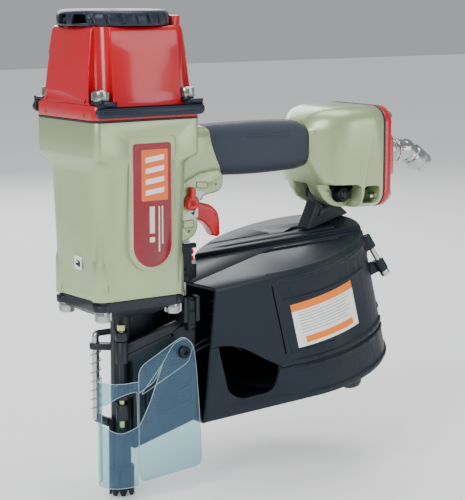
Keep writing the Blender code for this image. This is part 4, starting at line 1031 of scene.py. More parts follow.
def makeEndCap(s):
    x0, z = s["seat"], s["z"]
    top = x0 + s["plate"]
    cap = loft([(x0, roundBox(s["halfY"], s["halfZ"], 15, 0, z)),
                (top - 2.5, roundBox(s["halfY"], s["halfZ"], 15, 0, z)),
                (top - 0.8, roundBox(s["halfY"] - 0.5, s["halfZ"] - 0.5, 15, 0, z)),
                (top, roundBox(s["halfY"] - 1.6, s["halfZ"] - 1.6, 14, 0, z))], "X")
    for halfA, halfB, end in ((s["halfY"] - 2, 20, top + s["rise"]),
                              (20, s["halfZ"] - 2, top + s["rise"] - 0.2)):
        longA, longB = (3, 2) if halfA > halfB else (2, 3)
        joined(cap, loft([(top - 2, roundBox(halfA, halfB, 5, 0, z)),
                          (end - 1.6, roundBox(halfA - longA + 0.8, halfB - longB + 0.8, 5, 0, z)),
                          (end, roundBox(halfA - longA, halfB - longB, 5, 0, z))], "X"))
    boss = lathe([(0, s["boss"] - top), (15.6, s["boss"] - top), (17, s["boss"] - top - 1.4), (17.4, 8),
                  (19, 4.8), (19, -3), (0, -3)], 56)
    joined(cap, lengthways(boss, top, 0, z))
    cut(cap, lengthways(rod(10, -30, 40, 40), top, 0, z))
    gasket = loft([(x0 - 1.1, roundBox(s["halfY"] + 0.2, s["halfZ"] + 0.2, 15, 0, z)),
                   (x0 - 0.3, roundBox(s["halfY"] + 0.2, s["halfZ"] + 0.2, 15, 0, z))], "X")
    cut(gasket, loft([(x0 - 5, roundBox(29, 30, 12, 0, z)), (x0 + 5, roundBox(29, 30, 12, 0, z))], "X"))
    screws = []
    for y in (-s["screwY"], s["screwY"]):
        for dz in (-s["screwZ"], s["screwZ"]):
            cut(cap, lengthways(rod(s["screwHole"], -20, 20, 20), top, y, z + dz),
                lengthways(rod(6.6, -0.4, 8, 32), top, y, z + dz))
            cut(gasket, lengthways(rod(s["screwHole"], -20, 20, 20), top, y, z + dz))
            head = lathe([(0, 4.6), (3.2, 4.6), (4.6, 3.8), (5.2, 2.4), (5.2, 0.9), (6.1, 0.8), (6.1, 0),
                          (2.5, 0), (2.5, -18), (0, -18)], 40)
            cut(head, hexagon(s["socket"], 2.2, 6))
            screws.append(lengthways(softened(head, 0.15, 2, 40), top, y, z + dz))
    softened(cap, 0.6, 2, 34)
    shown(cap, "rearCap", "redEnamel", nodes=("end_cap",))
    shown(gasket, "rearGasket", "blackRubber", nodes=("end_gasket",))
    shown(merged(screws), "rearCapScrews", "chrome",
          nodes=[f"end_cap_screw_{i}" for i in (1, 2, 3, 4)])


def makeFitting(s):
    z = s["z"]
    x0, seat = s["seat"] + 5.7, s["boss"] + 0.3
    nipple = lathe([(9.7, x0), (5, x0), (5, seat + 16.7), (6.4, seat + 16.7), (7, seat + 16),
                    (7, seat + 11.7), (11.2, seat + 11.7), (12, seat + 10.9), (12, seat + 1), (11.4, seat),
                    (9.7, seat)], 56, closed=True)
    ridge = prism([(-0.4, -0.42), (0.4, 0), (-0.4, 0.42)], "Z", seat + 1.4, seat + 10.4)
    knurl = ringed(ridge, 46, 12.0, 0, 360 / 46, "chrome")
    shown(lengthways(merged([nipple, knurl]), 0, 0, z), "inletNipple", "chrome",
          nodes=("inlet_nipple",))
    start = s["boss"] + 12.3
    knee = Vector((s["knee"], 0, z))
    collar = lathe([(10.2, start), (11, start + 0.8), (11, start + 3), (10, start + 3.6), (10, start + 4.6),
                    (11, start + 5.2), (11, start + 7.4), (10.2, start + 8), (7.3, start + 8), (7.3, start)],
                   48, closed=True)
    neck = lathe([(0, start + 5.3), (9, start + 5.3), (9, knee.x), (0, knee.x)], 40)
    elbow = joined(lengthways(collar, 0, 0, z), lengthways(neck, 0, 0, z))
    arc = [(9.5 * sin(pi * i / 20), 9.5 * cos(pi * i / 20)) for i in range(1, 20)]
    joined(elbow, moved(lathe([(0, 9.5)] + arc + [(0, -9.5)], 40), *knee))
    out = Vector((1, 0, -0.62)).normalized()
    sleeve = lathe([(0, 4), (8.9, 4), (8.9, 8.4), (0, 8.4)], 40)
    nut = hexagon(s["nut"], 8.2, 21)
    kept(nut, lathe([(0, 8.2), (9.4, 8.2), (11.2, 10), (11.2, 19.2), (9.4, 21), (0, 21)], 48))
    lip = lathe([(0, 20.8), (9.2, 20.8), (9.2, 26.4), (8.4, 27), (0, 27)], 40)
    for part in (sleeve, nut, lip):
        joined(elbow, aimed(part, out, knee))
    softened(elbow, 0.3, 2, 36)
    cut(elbow, aimed(rod(6.5, 0, 40, 32), out, knee), lengthways(rod(5.2, -40, 4, 24), *knee))
    shown(elbow, "swivelElbow", "chrome", "swivel", ("swivel_fitting",))


makeEndCap(endSizes)
makeFitting(endSizes)
print("rear made")


# trigger group

triggerSizes = {"x": 58.0, "z": 237.0, "half": 5.6, "pin": 2.5, "cheek": 16.3, "rodX": 62.5,
                "wheelLow": 186.6, "wheelHigh": 196.8, "wheel": 8.2, "rod": 2.9}


def makeTrigger(s):
    x, z = s["x"], s["z"]
    outline = [(x - 4, z + 4), (x + 4, z + 4.5), (75, 235), (86, 232), (93, 226), (95, 220), (95.5, 207),
               (93.5, 204.5), (89, 206), (85, 213), (79, 218.5), (72, 221), (66, 224.5), (x, z - 5),
               (x - 4, z - 4)]
    trigger = slab(outline, 2.6, "Y", -s["half"], s["half"], 5)
    softened(trigger, 1.5, 4, 50)
    for side in (-1, 1):
        cut(trigger, crossways(rod(1.1, 4.6, 8, 16), 90.4, 223.4, side=side))
    cut(trigger, crossways(rod(s["pin"] + gap, -25, 25), x, z))
    shown(trigger, "triggerLever", "redPlastic", "trigger", ("trigger",))


def makeDial(s):
    x, z, face = s["x"], s["z"], s["cheek"]
    shaft = lathe([(0, face + 2.2), (1.7, face + 2.2), (1.7, face + 4.6), (4.4, face + 4.6),
                   (5.8, face + 3.9), (6.4, face + 2.6), (6.4, face + 0.2), (s["pin"], face + 0.2),
                   (s["pin"], -17.5), (0, -17.5)], 44)
    crossways(shaft, x, z, side=-1)
    lever = prism(bar(x, z + 4, x, z + 10.5, 2.5, 12), "Y", -face - 4.9, -face - 0.2)
    softened(lever, 1.0, 3, 40)
    shown(joined(shaft, lever), "selectorDial", "redPlastic", "selector", ("selector_dial",))


def makeArmCover(s):
    outline = [(42.9, 172), (60, 170), (68.6, 174), (68.6, 202.6), (47, 202.6), (42.9, 201)]
    cover = slab(outline, 2, "Y", -10, 10, 4)
    softened(cover, 0.8, 3, 45)
    cut(cover, block(47.5, 67.3, -8.6, 8.6, 160, 210), block(60, 80, -8.6, 8.6, s["wheelLow"] - 2.4, 215),
        slab(rect(63.4, 80, s["wheelLow"] - 1.6, s["wheelHigh"] + 1.6), 1.5, "Y", -20, 20))
    for z in (177, 180.5, 184):
        for low, high in ((-11, -9.4), (9.4, 11)):
            cut(cover, prism(bar(50, z, 58, z, 0.6, 6), "Y", low, high))
    shown(cover, "armCoverShell", "darkPlastic", nodes=("arm_cover",))


def makeWheel(s):
    r, low, high = s["wheel"], s["wheelLow"], s["wheelHigh"]
    middle = (low + high) / 2
    wheel = lathe([(r - 1.6, high), (r - 0.5, high - 0.7), (r - 0.5, middle + 1), (r - 1.5, middle + 0.5),
                   (r - 1.5, middle - 0.5), (r - 0.5, middle - 1), (r - 0.5, low + 0.7), (r - 1.6, low),
                   (s["rod"] + gap, low), (s["rod"] + gap, high)], 56, closed=True)
    ribs = []
    for start, end in ((low + 0.9, middle - 1.1), (middle + 1.1, high - 0.9)):
        rib = prism([(-0.5, -0.45), (0.3, -0.2), (0.3, 0.2), (-0.5, 0.45)], "Z", start, end)
        ribs.append(ringed(rib, 26, r - 0.35, 0, 360 / 26, "redPlastic"))
    shown(moved(merged([wheel, *ribs]), s["rodX"]), "depthWheelRing", "redPlastic", "depth_wheel",
          ("depth_wheel",))


makeTrigger(triggerSizes)
makeDial(triggerSizes)
makeArmCover(triggerSizes)
makeWheel(triggerSizes)
print("trigger group made")


# nose, door and latch

noseSizes = {"top": 167.2, "flange": 8.0, "flangeX": 38.5, "flangeY": 36.0, "guide": 8.0, "tip": 14.0,
             "bore": 3.6, "hingeX": -9.0, "hingeY": -16.0, "pin": 2.0, "wallIn": 6.5, "wallOut": 12.5,
             "legX": -10.0, "legY": 22.0, "rod": 2.9, "collar": 118.0, "boltX": 33.0, "boltY": 27.5,
             "feedZ": 100.0}
canSizes = {"x": 186.0, "y": -2.0, "z": 81.0, "tilt": 14.5, "radius": 74.0, "wall": 2.6, "height": 113.0,
            "step": 3.5, "tub": 32.0, "neckX": 70.0, "left": -18.0, "right": 16.0, "hingeReach": 80.0,
            "hingeRise": 92.0, "hingeLean": 17.8, "pin": 2.2, "knuckle": 4.6, "half": 17.0}
doorSizes = {"out": -14.5, "thick": 5.4, "boltX": 44.0, "boltZ": 117.0, "shield": -25.5, "sheet": 1.2,
             "latchX": 54.0, "latchY": -20.5, "latchZ": 156.5, "latchR": 1.6, "boltHole": 2.8, "socket": 2.4}


def slant(x, height):
    # the height over x of a plane in the tilted magazine
    tilt = radians(canSizes["tilt"])
    return canSizes["z"] + (height + (x - canSizes["x"]) * sin(tilt)) / cos(tilt)


def makeNose(s):
    top, under = s["top"], s["top"] - s["flange"]
    nose = prism(roundBox(s["flangeX"], s["flangeY"], 9), "Z", under, top)
    bell = lathe([(0, top - 1), (33, top - 1), (33, under), (31.4, under - 1.5), (28.6, under - 4.5),
                  (24, 152.8), (18, 150), (0, 150)], 72)
    guide = rod(s["guide"], s["tip"], 152, 48)
    wall = slab([(-2, 128), (-2, slant(-2, 5)), (66, slant(66, 5)), (66, 141), (40, 150.5), (-2, 150.5)], 2,
                "Y", s["wallIn"], s["wallOut"])
    ring = prism(bar(s["hingeX"], s["hingeY"], -2, -4, 5, 14), "Z", 131, 138)
    boss = prism(bar(s["hingeX"], s["hingeY"], -2, -4, 4.8, 14), "Z", 66, 79)
    collar = prism(bar(s["legX"], s["legY"], 2, s["wallOut"] - 2, s["rod"] + 2.1, 14), "Z", s["collar"],
                   s["collar"] + 5)
    joined(nose, bell, guide, wall, ring, boss, collar)
    skirt = loft([(150.5, roundBox(20, 18, 10)), (151.6, roundBox(25, 23, 12)),
                  (154.4, roundBox(30.5, 28.4, 14)), (157.4, roundBox(34, 31.6, 14)),
                  (under + 1, roundBox(36.6, 34, 11))])
    bolts = corners(s["boltX"], s["boltY"])
    drilled(skirt, bolts, 9, 140, under - 0.1, 36)
    joined(nose, skirt)
    for x, y in bolts:
        joined(nose, moved(lathe([(0, top - 2), (8.3, top - 2), (8.3, under + 0.6), (7.7, under), (0, under)],
                                 36), x, y))
    cut(nose, moved(rod(s["rod"] + gap, s["collar"] - 5, s["collar"] + 15, 24), s["legX"], s["legY"]))
    cut(nose, rod(s["bore"], s["tip"] - 5, 175, 28), block(0, 13, -4.6, 4.6, slant(0, 8), 130))
    cut(nose, block(14, 39, s["wallIn"] - 2.5, s["wallOut"] + 1.5, s["feedZ"] - 8, s["feedZ"] + 8))
    cut(nose, moved(rod(s["pin"] + gap, 50, 145, 20), s["hingeX"], s["hingeY"]))
    drilled(nose, bolts, boltHole, 140, 175, 20)
    softened(nose, 0.45, 2, 34)
    shown(nose, "noseShell", "darkAlloy", nodes=("nose_casting",))
    template = capScrew(screwSizes, 0, 25)
    template.data.transform(Matrix.Rotation(pi, 4, "X"))
    points = places([(x, y, under - gap) for x, y in bolts])
    screws = grown(copiesAtPlaces, points, "chrome", Template=template)
    bpy.data.objects.remove(template)
    shown(screws, "noseScrews", "chrome",
          nodes=[f"nose_bolt_{i}" for i in (1, 2, 3, 4)])
    pin = lathe([(0, 145), (2.4, 145), (3.4, 144), (3.4, 140), (2.8, 139), (s["pin"], 139), (s["pin"], 60.6),
                 (1.4, 60), (0, 60)], 32)
    shown(moved(pin, s["hingeX"], s["hingeY"]), "doorHingePin", "zincPin",
          nodes=("door_pin",))


def makeDoor(s, nose):
    out, inner = s["out"], s["out"] + s["thick"]
    outline = [(3, 82), (3, slant(3, 6)), (64, slant(64, 6)), (64, slant(64, 92)), (61, 147), (47, 147),
               (47, slant(47, 92)), (-4, slant(-4, 92)), (-4, 115.4), (3, 112)]
    door = slab(outline, 1.6, "Y", out, inner, 3)
    hx, hy = nose["hingeX"], nose["hingeY"]
    parts = []
    for low, high, knuckleLow, knuckleHigh in ((113, min(130.0, slant(-4, 92)), 113, 130.5),
                                               (83.2, 91.8, 83, 92)):
        parts += [block(hx + 3, 6, out, inner, low, high), moved(rod(5, knuckleLow, knuckleHigh, 36), hx, hy)]
    spacer = rod(5, -inner - 1, -s["shield"] - s["sheet"] - gap, 32)
    parts.append(crossways(spacer, s["boltX"], s["boltZ"], side=-1))
    for rib in (((-1, 118), (40, 129.5)), ((40, 129.5), (61, 141)), ((19.5, 60), (19.5, 112))):
        (x0, z0), (x1, z1) = rib
        parts.append(prism(bar(x0, z0, x1, z1, 1.3, 6), "Y", out - 1.1, out + 1))
    joined(door, *parts)
    softened(door, 0.45, 2, 36)
    for panel in ([(6, 58), (6, 104), (15.4, 107), (15.4, 60)], [(24, 64), (24, 100), (40, 104), (60, 100),
                                                                 (60, 73)], [(22, 112), (36, 118), (36, 122),
                                                                             (22, 116)]):
        cut(door, slab(panel, 2, "Y", out - 3, out + 1.3))
    slotHoles = [prism(bar(50, 84, 56, 86, 1.6, 8), "Y", out - 3, out + 3), crossways(rod(1.7, 10, 20, 20),
                                                                                      30, 92, side=-1)]
    cut(door, *slotHoles)
    cut(door, moved(rod(nose["pin"] + gap, 50, 145, 20), hx, hy))
    cut(door, crossways(rod(s["boltHole"], -40, 40, 20), s["boltX"], s["boltZ"]))
    shown(door, "doorShell", "darkAlloy", "door", ("nose_door",), angle=32)
    x, y, z = s["latchX"], s["latchY"], s["latchZ"]
    bracket = block(x - 8, x + 8, y - 4, out - gap, 140, 161)
    cut(bracket, block(x - 4, x + 4, y - 20, y + 4.6, 130, 170))
    softened(bracket, 0.9, 3, 40)
    joined(bracket, lengthways(rod(s["latchR"], -7.5, 7.5, 20), x, y, z))
    shown(bracket, "latchHousing", "darkAlloy", "door", ("latch_bracket",))
    lever = prism(bar(y, z, y - 0.4, 136, 3.2, 12), "X", x - 3.7, x + 3.7)
    softened(lever, 0.8, 3, 40)
    for drop in (138, 141, 144, 147):
        cut(lever, prism(rect(x - 3, x + 3, drop, drop + 1.2), "Y", y - 6, y - 3.2))
    cut(lever, lengthways(rod(s["latchR"] + gap, -30, 30, 20), x, y, z))
    shown(lever, "latchLever", "blackSteel", "latch", ("door_latch",))


def makeShield(s):
    near = s["shield"] + s["sheet"]
    sheetOutline = smoothed([(1, 14.5), (62.8, 19.6), (60.6, 57.5), (57, 104), (54, 122.5), (44, 130),
                             (34, 125.5), (1, 109)], 8, 7)
    opening = smoothed([(-8, 84), (0, 88), (16, 96), (25, 112), (12, 80), (2, 62), (-8, 58)], 3, 4)
    side = prism(sheetOutline, "Y", s["shield"], near)
    cut(side, prism(opening, "Y", s["shield"] - 2, near + 2))
    softened(side, 0.2, 2, 50)
    cut(side, crossways(rod(s["boltHole"], -40, 40, 20), s["boltX"], s["boltZ"]))
    shown(side, "shieldSideSheet", "clearPlastic", "door", ("shield_side",))
    # beads on the side sheet's outline, fold and opening: real edges, coloured pale as a painted highlight
    rims = [bead([(a, s["shield"] + 0.2, b) for a, b in sheetOutline], 0.24, "sheetEdgeHighlight", closed=True,
                 sides=8)]
    fold = smoothed([(54, 121.5), (49.5, 108), (2, 86), (24, 110), (34, 124.5), (46, 129)], 5, 6)
    rims.append(bead([(a, s["shield"] - 0.1, b) for a, b in fold], 0.2, "sheetEdgeHighlight", closed=True, sides=8))
    rims.append(bead([(a, s["shield"] + 0.1, b) for a, b in opening if a > 1.2], 0.24, "sheetEdgeHighlight", sides=8))
    shown(merged(rims), "shieldSideEdge", "sheetEdgeHighlight", "door")
    x, y, radius = -10.0, -10.0, -10.0 - s["shield"]
    arc = [radians(-90 - 4 * i) for i in range(40)]
    outline = [(0.4, s["shield"])] + [(x + radius * cos(a), y + radius * sin(a)) for a in arc]
    outline += [(x + (radius - s["sheet"]) * cos(a), y + (radius - s["sheet"]) * sin(a))
                for a in reversed(arc)]
    front = prism(outline + [(0.4, near)], "Z", 12, 98)
    window = [(-27.5, 66), (-26.5, 78), (-19, 87), (-8, 90), (2, 90), (2, 62), (-6.1, 59), (-16, 57),
              (-23, 60)]
    cut(front, slab(window, 5, "Y", -30, -9, 5))
    for low in (-17.0, -10.5):
        cut(front, block(low, low + 0.8, -40, -20, 11, 27))
    shown(front, "shieldFrontSheet", "clearPlastic", nodes=("shield_front",))
    path = []
    for a, b in smoothed(window, 5, 5):
        depth = radius * radius - (a - x) ** 2
        if a < 0.2 and depth > 0:
            path.append((a, s["shield"] if a > x else y - sqrt(depth), b))
    lower = [(0.2, s["shield"], 12.1)] + [(x + radius * cos(a), y + radius * sin(a), 12.1) for a in arc]
    upper = [(place[0], place[1], 97.9) for place in lower]
    # beads on the front sheet's window and its lower and upper edges: real edges, coloured pale as a painted
    # highlight
    edges = [bead(line, 0.22, "sheetEdgeHighlight", sides=8) for line in (path, lower, upper)]
    shown(merged(edges), "shieldFrontEdge", "sheetEdgeHighlight")
    screw = lathe([(0, 4), (3.4, 4), (4.8, 3), (5.2, 1.6), (5.2, 0), (2.5, 0), (2.5, -13), (0, -13)], 40)
    cut(screw, hexagon(s["socket"], 1.8, 6))
    crossways(softened(screw, 0.15, 2, 40), s["boltX"], s["boltZ"], s["shield"] - gap, -1)
    shown(screw, "shieldScrew", "blackSteel", "door", ("shield_bolt",))


def tube(outer, inner, low, high, sides=48):
    return lathe([(outer, high), (outer, low), (inner, low), (inner, high)], sides, closed=True)


footSizes = {"outer": 10.4, "inner": 8.3, "ring": 24.0, "stripTop": 64.0, "linkTop": 196.5, "linkLow": 59.0,
             "upperTurn": 152.0, "lowerTurn": 131.0, "bend": 3.4}


def makeFoot(f, s):
    foot = tube(f["outer"], f["inner"], 0, f["ring"])
    for axis in ("X", "Y"):
        cut(foot, prism([(-3.2, -1), (3.2, -1), (0, 6.5)], axis, -20, 20))
    for angle in (45, 135):
        cut(foot, turned(prism([(-2.4, -1), (2.4, -1), (0, 4.5)], "Y", -20, 20), angle))
    strip = tube(f["outer"] - 0.1, f["inner"] + 0.1, f["ring"] - 4, f["stripTop"])
    kept(strip, block(-20, -6.6, -2.6, 12, 0, f["stripTop"]))
    lug = block(s["legX"] - 1.2, -8.4, 3, s["legY"] + 1, f["stripTop"] - 7, f["stripTop"])
    joined(foot, strip, lug)
    softened(foot, 0.25, 2, 40)
    rodX, upper, lower = triggerSizes["rodX"], f["upperTurn"], f["lowerTurn"]
    path = [(rodX, 0, f["linkTop"]), (rodX, 0, upper), (rodX, s["legY"], upper), (rodX, s["legY"], lower),
            (s["legX"], s["legY"], lower), (s["legX"], s["legY"], f["linkLow"])]
    curve = []
    for i, point in enumerate(path):
        here = Vector(point)
        if 0 < i < len(path) - 1:
            before = (Vector(path[i - 1]) - here).normalized() * f["bend"]
            after = (Vector(path[i + 1]) - here).normalized() * f["bend"]
            for k in range(7):
                t = k / 6
                curve.append((here + before) * (1 - t) ** 2 + here * 2 * t * (1 - t) + (here + after) * t * t)
        else:
            curve.append(here)
    link = bead(curve, s["rod"], "steel", sides=24)
    shown(foot, "contactFootTip", "blackSteel", "contact_foot", ("contact_foot",))
    shown(link, "contactFootLink", "steel", "contact_foot")


makeNose(noseSizes)
makeDoor(doorSizes, noseSizes)
makeShield(doorSizes)
makeFoot(footSizes, noseSizes)
print("nose made")


# magazine

def inMagazine(obj):
    s = canSizes
    obj.data.transform(Matrix.Translation((s["x"], s["y"], s["z"])) @ Matrix.Rotation(-radians(s["tilt"]), 4,
                                                                                      "Y"))
    return obj


chord = Vector((0.758, -0.652)).normalized()
chordSide = Vector((-chord.y, chord.x))
neckMouth = (canSizes["neckX"] - canSizes["x"]) / cos(radians(canSizes["tilt"])) - 12.0


def tangent(y, radius):
    reach = sqrt((neckMouth + 14) ** 2 + y ** 2)
    side = 1 if y > 0 else -1
    angle = atan2(y, neckMouth + 14) - side * acos(radius / reach)
    return radius * cos(angle), radius * sin(angle)


def canOutline(radius, left, right, mouth):
    near, far = tangent(left, radius), tangent(right, radius)
    start, end = atan2(near[1], near[0]), atan2(far[1], far[0])
    points = [(neckMouth + 14, right), (mouth, right), (mouth, left), (neckMouth + 14, left)]
    span = (end - start) % (2 * pi)
    for i in range(97):
        angle = start + span * i / 96
        points.append((radius * cos(angle), radius * sin(angle)))
    return points


def canSolid(s, radius, inset, low, high, mouth, edge):
    # outer shell of the can and its neck, with rounded rims
    rows = []
    for z, shrink in ((low, edge), (low + edge * 0.3, edge * 0.3), (low + edge, 0), (high - edge, 0),
                      (high - edge * 0.3, edge * 0.3), (high, edge)):
        rows.append((z, canOutline(radius - shrink, s["left"] + inset + shrink, s["right"] - inset - shrink,
                                   mouth)))
    return loft(rows)


# the cover's lower edge along the neck: high at the mouth, then down in an S to the tub
recessEdge = [(-118, 62), (-108, 63.2), (-98, 63.4), (-90, 61.8), (-82, 57.6), (-76, 52.4), (-70, 46.2),
              (-65, 41.2), (-60, 36.8), (-57.4, 34.0), (-56, 31.4), (-56, -10)]


def coverRegion(s, grow):
    normal = chordSide * grow
    far = chord * 140 + normal
    plan = [(-200, grow), (normal.x, grow), (far.x, far.y), (far.x - 200, far.y - 200), (-200, -200)]
    region = prism(plan, "Z", s["tub"] + gap - grow, 180)
    edge = [(-260, -10)] + [(x - grow, z - grow) for x, z in recessEdge[::-1]] + [(-260,
                                                                                   recessEdge[0][1] - grow)]
    return cut(region, prism(edge, "Y", -260, 260))


def canShell(s):
    shell = canSolid(s, s["radius"], 0, 0, s["height"], neckMouth, 3.2)
    wall = s["wall"]
    inside = loft([(z, canOutline(s["radius"] - wall, s["left"] + wall, s["right"] - wall, neckMouth - 18))
                   for z in (wall, s["height"] - wall)])
    inMagazine(cut(shell, inside))
    return cut(shell, block(0, s["neckX"], -100, 100, 0, 300))


def hingePlace(s):
    turn = Matrix.Rotation(-radians(s["tilt"]), 3, "Y")
    up = turn @ Vector((0, 0, 1))
    along = turn @ Vector((chord.x, chord.y, 0))
    centre = Vector((s["x"], s["y"], s["z"])) + up * s["hingeRise"] + along * s["hingeReach"]
    lean = radians(s["hingeLean"])
    return centre, (-up * cos(lean) + along * sin(lean)).normalized(), along


def hingeEar(s, start, end, side):
    centre, axis, along = hingePlace(s)
    across = along.cross(axis).normalized() * side
    inward = axis.cross(across).normalized()
    if inward.dot(along) > 0:
        inward = -inward
    knuckle = aimed(lathe([(0, start), (s["knuckle"] - 0.5, start), (s["knuckle"], start + 0.5),
                           (s["knuckle"], end - 0.5), (s["knuckle"] - 0.5, end), (0, end)], 40), axis, centre)
    bm = bmesh.new()
    made = []
    for z in (start + 0.05, end - 0.05):
        for reach, width in ((0.1, 0.3), (0.1, s["knuckle"] - 0.2), (18, 6.5), (18, 0.3)):
            made.append(bm.verts.new(centre + axis * z + inward * reach + across * width))
    low, high = made[:4], made[4:]
    bm.faces.new(low)
    bm.faces.new(high)
    for i in range(4):
        j = (i + 1) % 4
        bm.faces.new((low[i], low[j], high[j], high[i]))
    ear = joined(knuckle, meshFrom(bm))
    return cut(ear, aimed(rod(s["pin"] + gap, start - 5, end + 5, 24), axis, centre))


def arcBand(radius, thick, low, high, start, end, steps):
    # a raised band on the can's wall between two angles
    bm = bmesh.new()
    rings = []
    profile = ((radius - 1, low), (radius + thick, low + thick * 0.4), (radius + thick, high - thick * 0.4),
               (radius - 1, high))
    for i in range(steps + 1):
        angle = radians(start + (end - start) * i / steps)
        rings.append([bm.verts.new((r * cos(angle), r * sin(angle), z)) for r, z in profile])
    for a, b in zip(rings, rings[1:]):
        for k in range(4):
            j = (k + 1) % 4
            bm.faces.new((a[k], a[j], b[j], b[k]))
    bm.faces.new(rings[0])
    bm.faces.new(rings[-1])
    return meshFrom(bm)


def makeMagazine(s):
    body, cover = canShell(s), canShell(s)
    top = s["height"]
    cut(body, inMagazine(coverRegion(s, 0.2)))
    kept(cover, inMagazine(coverRegion(s, -0.2)))
    raised = loft([(z, roundBox(s["radius"] - r, s["radius"] - r, s["radius"] - r, steps=24)) for z,
                   r in ((top - 1, 1), (top + s["step"] - 1.4, 1), (top + s["step"] - 0.4, 1.5),
                         (top + s["step"], 2.8))])
    plan = [chord * a + chordSide * b for a, b in ((-150, 6), (150, 6), (150, 200), (-150, 200))]
    kept(raised, prism([(p.x, p.y) for p in plan], "Z", top - 5, top + 20))
    joined(body, inMagazine(raised))
    hollow = smoothed([(-98, 22), (-98, 67), (-58, 67), (-58, 30), (-66, 14), (-90, 14)], 7, 6)
    cut(body, inMagazine(prism(hollow, "Y", -120, -6)))
    # bands round the can: thickness, lower and upper edge, start and end angle, steps
    tubBands = ((1.2, 26.5, 30.8, -136, -42, 40), (1.2, 3.5, 7, -150, 150, 110), (1.1, 40, 44, -36, 140, 80),
                (1.1, 86, 90, -30, 140, 80))
    coverBands = ((1.4, 32.4, 37.2, -140, -42, 40), (1.4, 104.0, 108.4, -150, -42, 40),
                  (1.3, 88.5, 91, -128, -62, 40), (1.3, 42.6, 45.2, -131, -100, 40))
    for part, bands in ((body, tubBands), (cover, coverBands)):
        for band in bands:
            joined(part, inMagazine(arcBand(s["radius"], *band)))
    for x0, z0, x1, z1 in ((73, 153.4, 103, 158.4), (74.4, 143.6, 105, 149.8), (74, 133, 108, 141)):
        for lift, ends in ((0.0, 0.0), (-3.6, 2.5)):
            crest = [(x0 + ends + (x1 - x0 - ends) * t, z0 + lift + (z1 - z0) * t + 2.2 * sin(pi * t))
                     for t in (0, 0.15, 0.35, 0.6, 0.85, 1)]
            trough = [(x, z - 1.5 * sin(pi * (i + 0.5) / 6) - 0.2) for i, (x, z) in enumerate(crest)]
            joined(cover, prism(crest + trough[::-1], "Y", s["y"] + s["left"] - 1.0, s["y"] + s["left"] + 1))
    seam = turned(block(s["radius"] - 0.5, s["radius"] + 3, -0.45, 0.45, 44, 104), -133)
    cut(cover, inMagazine(seam))
    along = Matrix.Rotation(atan2(chord.y, chord.x), 4, "Z")
    for shape in (prism(bar(-46, 14, 50, 14, 1.1, 8), "Z", top + 2.2, top + 9),
                  prism(bar(-58, 30, -8, 30, 0.8, 8), "Z", top + 2.4, top + 9),
                  slab([(4, 24), (52, 24), (46, 36), (12, 36)], 4, "Z", top + 1.6, top + 9)):
        shape.data.transform(along)
        cut(body, inMagazine(shape))
    shape = slab([(-62, -5), (56, -5), (50, -13), (-52, -13)], 4, "Z", top - 1.4, top + 9)
    shape.data.transform(along)
    cut(cover, inMagazine(shape))
    centre, axis, _ = hingePlace(s)
    for part in (body, cover):
        cut(part, aimed(rod(s["knuckle"] + 0.9, -s["half"] - 0.9, s["half"] + 0.9, 40), axis, centre))
    joined(body, hingeEar(s, 7, s["half"], 1))
    joined(cover, hingeEar(s, -s["half"], -5, -1))
    for part in (body, cover):
        softened(part, 0.35, 2, 40)
    shown(body, "magazineBody", "darkPlastic", nodes=("magazine_body",), angle=34)
    shown(cover, "magazineCover", "darkPlastic", "cover", ("magazine_cover",), angle=34)
    rim = [(71.4 * cos(radians(a)), 71.4 * sin(radians(a)), top - 0.5) for a in range(-136, -43, 3)]
    lip = [(x + 0.4, s["left"] + 0.1, z + 1.2) for x, z in recessEdge[:-3] if x < -66]
    upperLip = [(x + 3.5, s["left"] + 0.2, z + 6.2) for x, z in recessEdge[:-4] if x < -70]
    beads = [bead(rim, 1.5, "darkPlastic", sides=14), bead(lip, 0.9, "darkPlastic", sides=12),
             bead(upperLip, 0.55, "darkPlastic", sides=10)]
    line = [chord * a + chordSide * 4.0 for a in range(-60, 61, 6)]
    shown(inMagazine(merged(beads)), "coverRims", "darkPlastic", "cover")
    lidLine = bead([(p.x, p.y - 6.2, top - 0.3) for p in line], 0.9, "darkPlastic")
    shown(inMagazine(lidLine), "coverLidLine", "darkPlastic", "cover")
    head = s["half"] + 0.4
    pin = lathe([(0, head + 4.6), (3.2, head + 4.6), (4, head + 3.8), (4, head), (s["pin"], head),
                 (s["pin"], 0.5 - s["half"]), (0, 0.5 - s["half"])], 32)
    shown(aimed(pin, axis, centre), "coverHingePin", "steel", nodes=("cover_hinge_pin",))


noticeSizes = {"start": -125.0, "sweep": 46.5, "low": 46.3, "lowRise": 2.3, "high": 84.3, "highRise": 3.1,
               "proud": 0.25, "steps": 36}


def makeLabel(n, s):
    # a printed notice that follows the cover's wall, with its own UV map
    bm = bmesh.new()
    layer = bm.loops.layers.uv.new("UVMap")
    grid = []
    for i in range(n["steps"] + 1):
        t = i / n["steps"]
        angle = radians(n["start"] + n["sweep"] * t)
        low, high = n["low"] + n["lowRise"] * t, n["high"] + n["highRise"] * t
        r = s["radius"] + n["proud"]
        grid.append([(bm.verts.new((r * cos(angle), r * sin(angle), z)), (t, v)) for z,
                     v in ((low, 0.0), (high, 1.0))])
    for a, b in zip(grid, grid[1:]):
        quad = [a[0], b[0], b[1], a[1]]
        face = bm.faces.new([vert for vert, _ in quad])
        for loop, (_, uv) in zip(face.loops, quad):
            loop[layer].uv = uv
    shown(inMagazine(meshAsIs(bm)), "coverNotice", "printedLabel", "cover", angle=60)


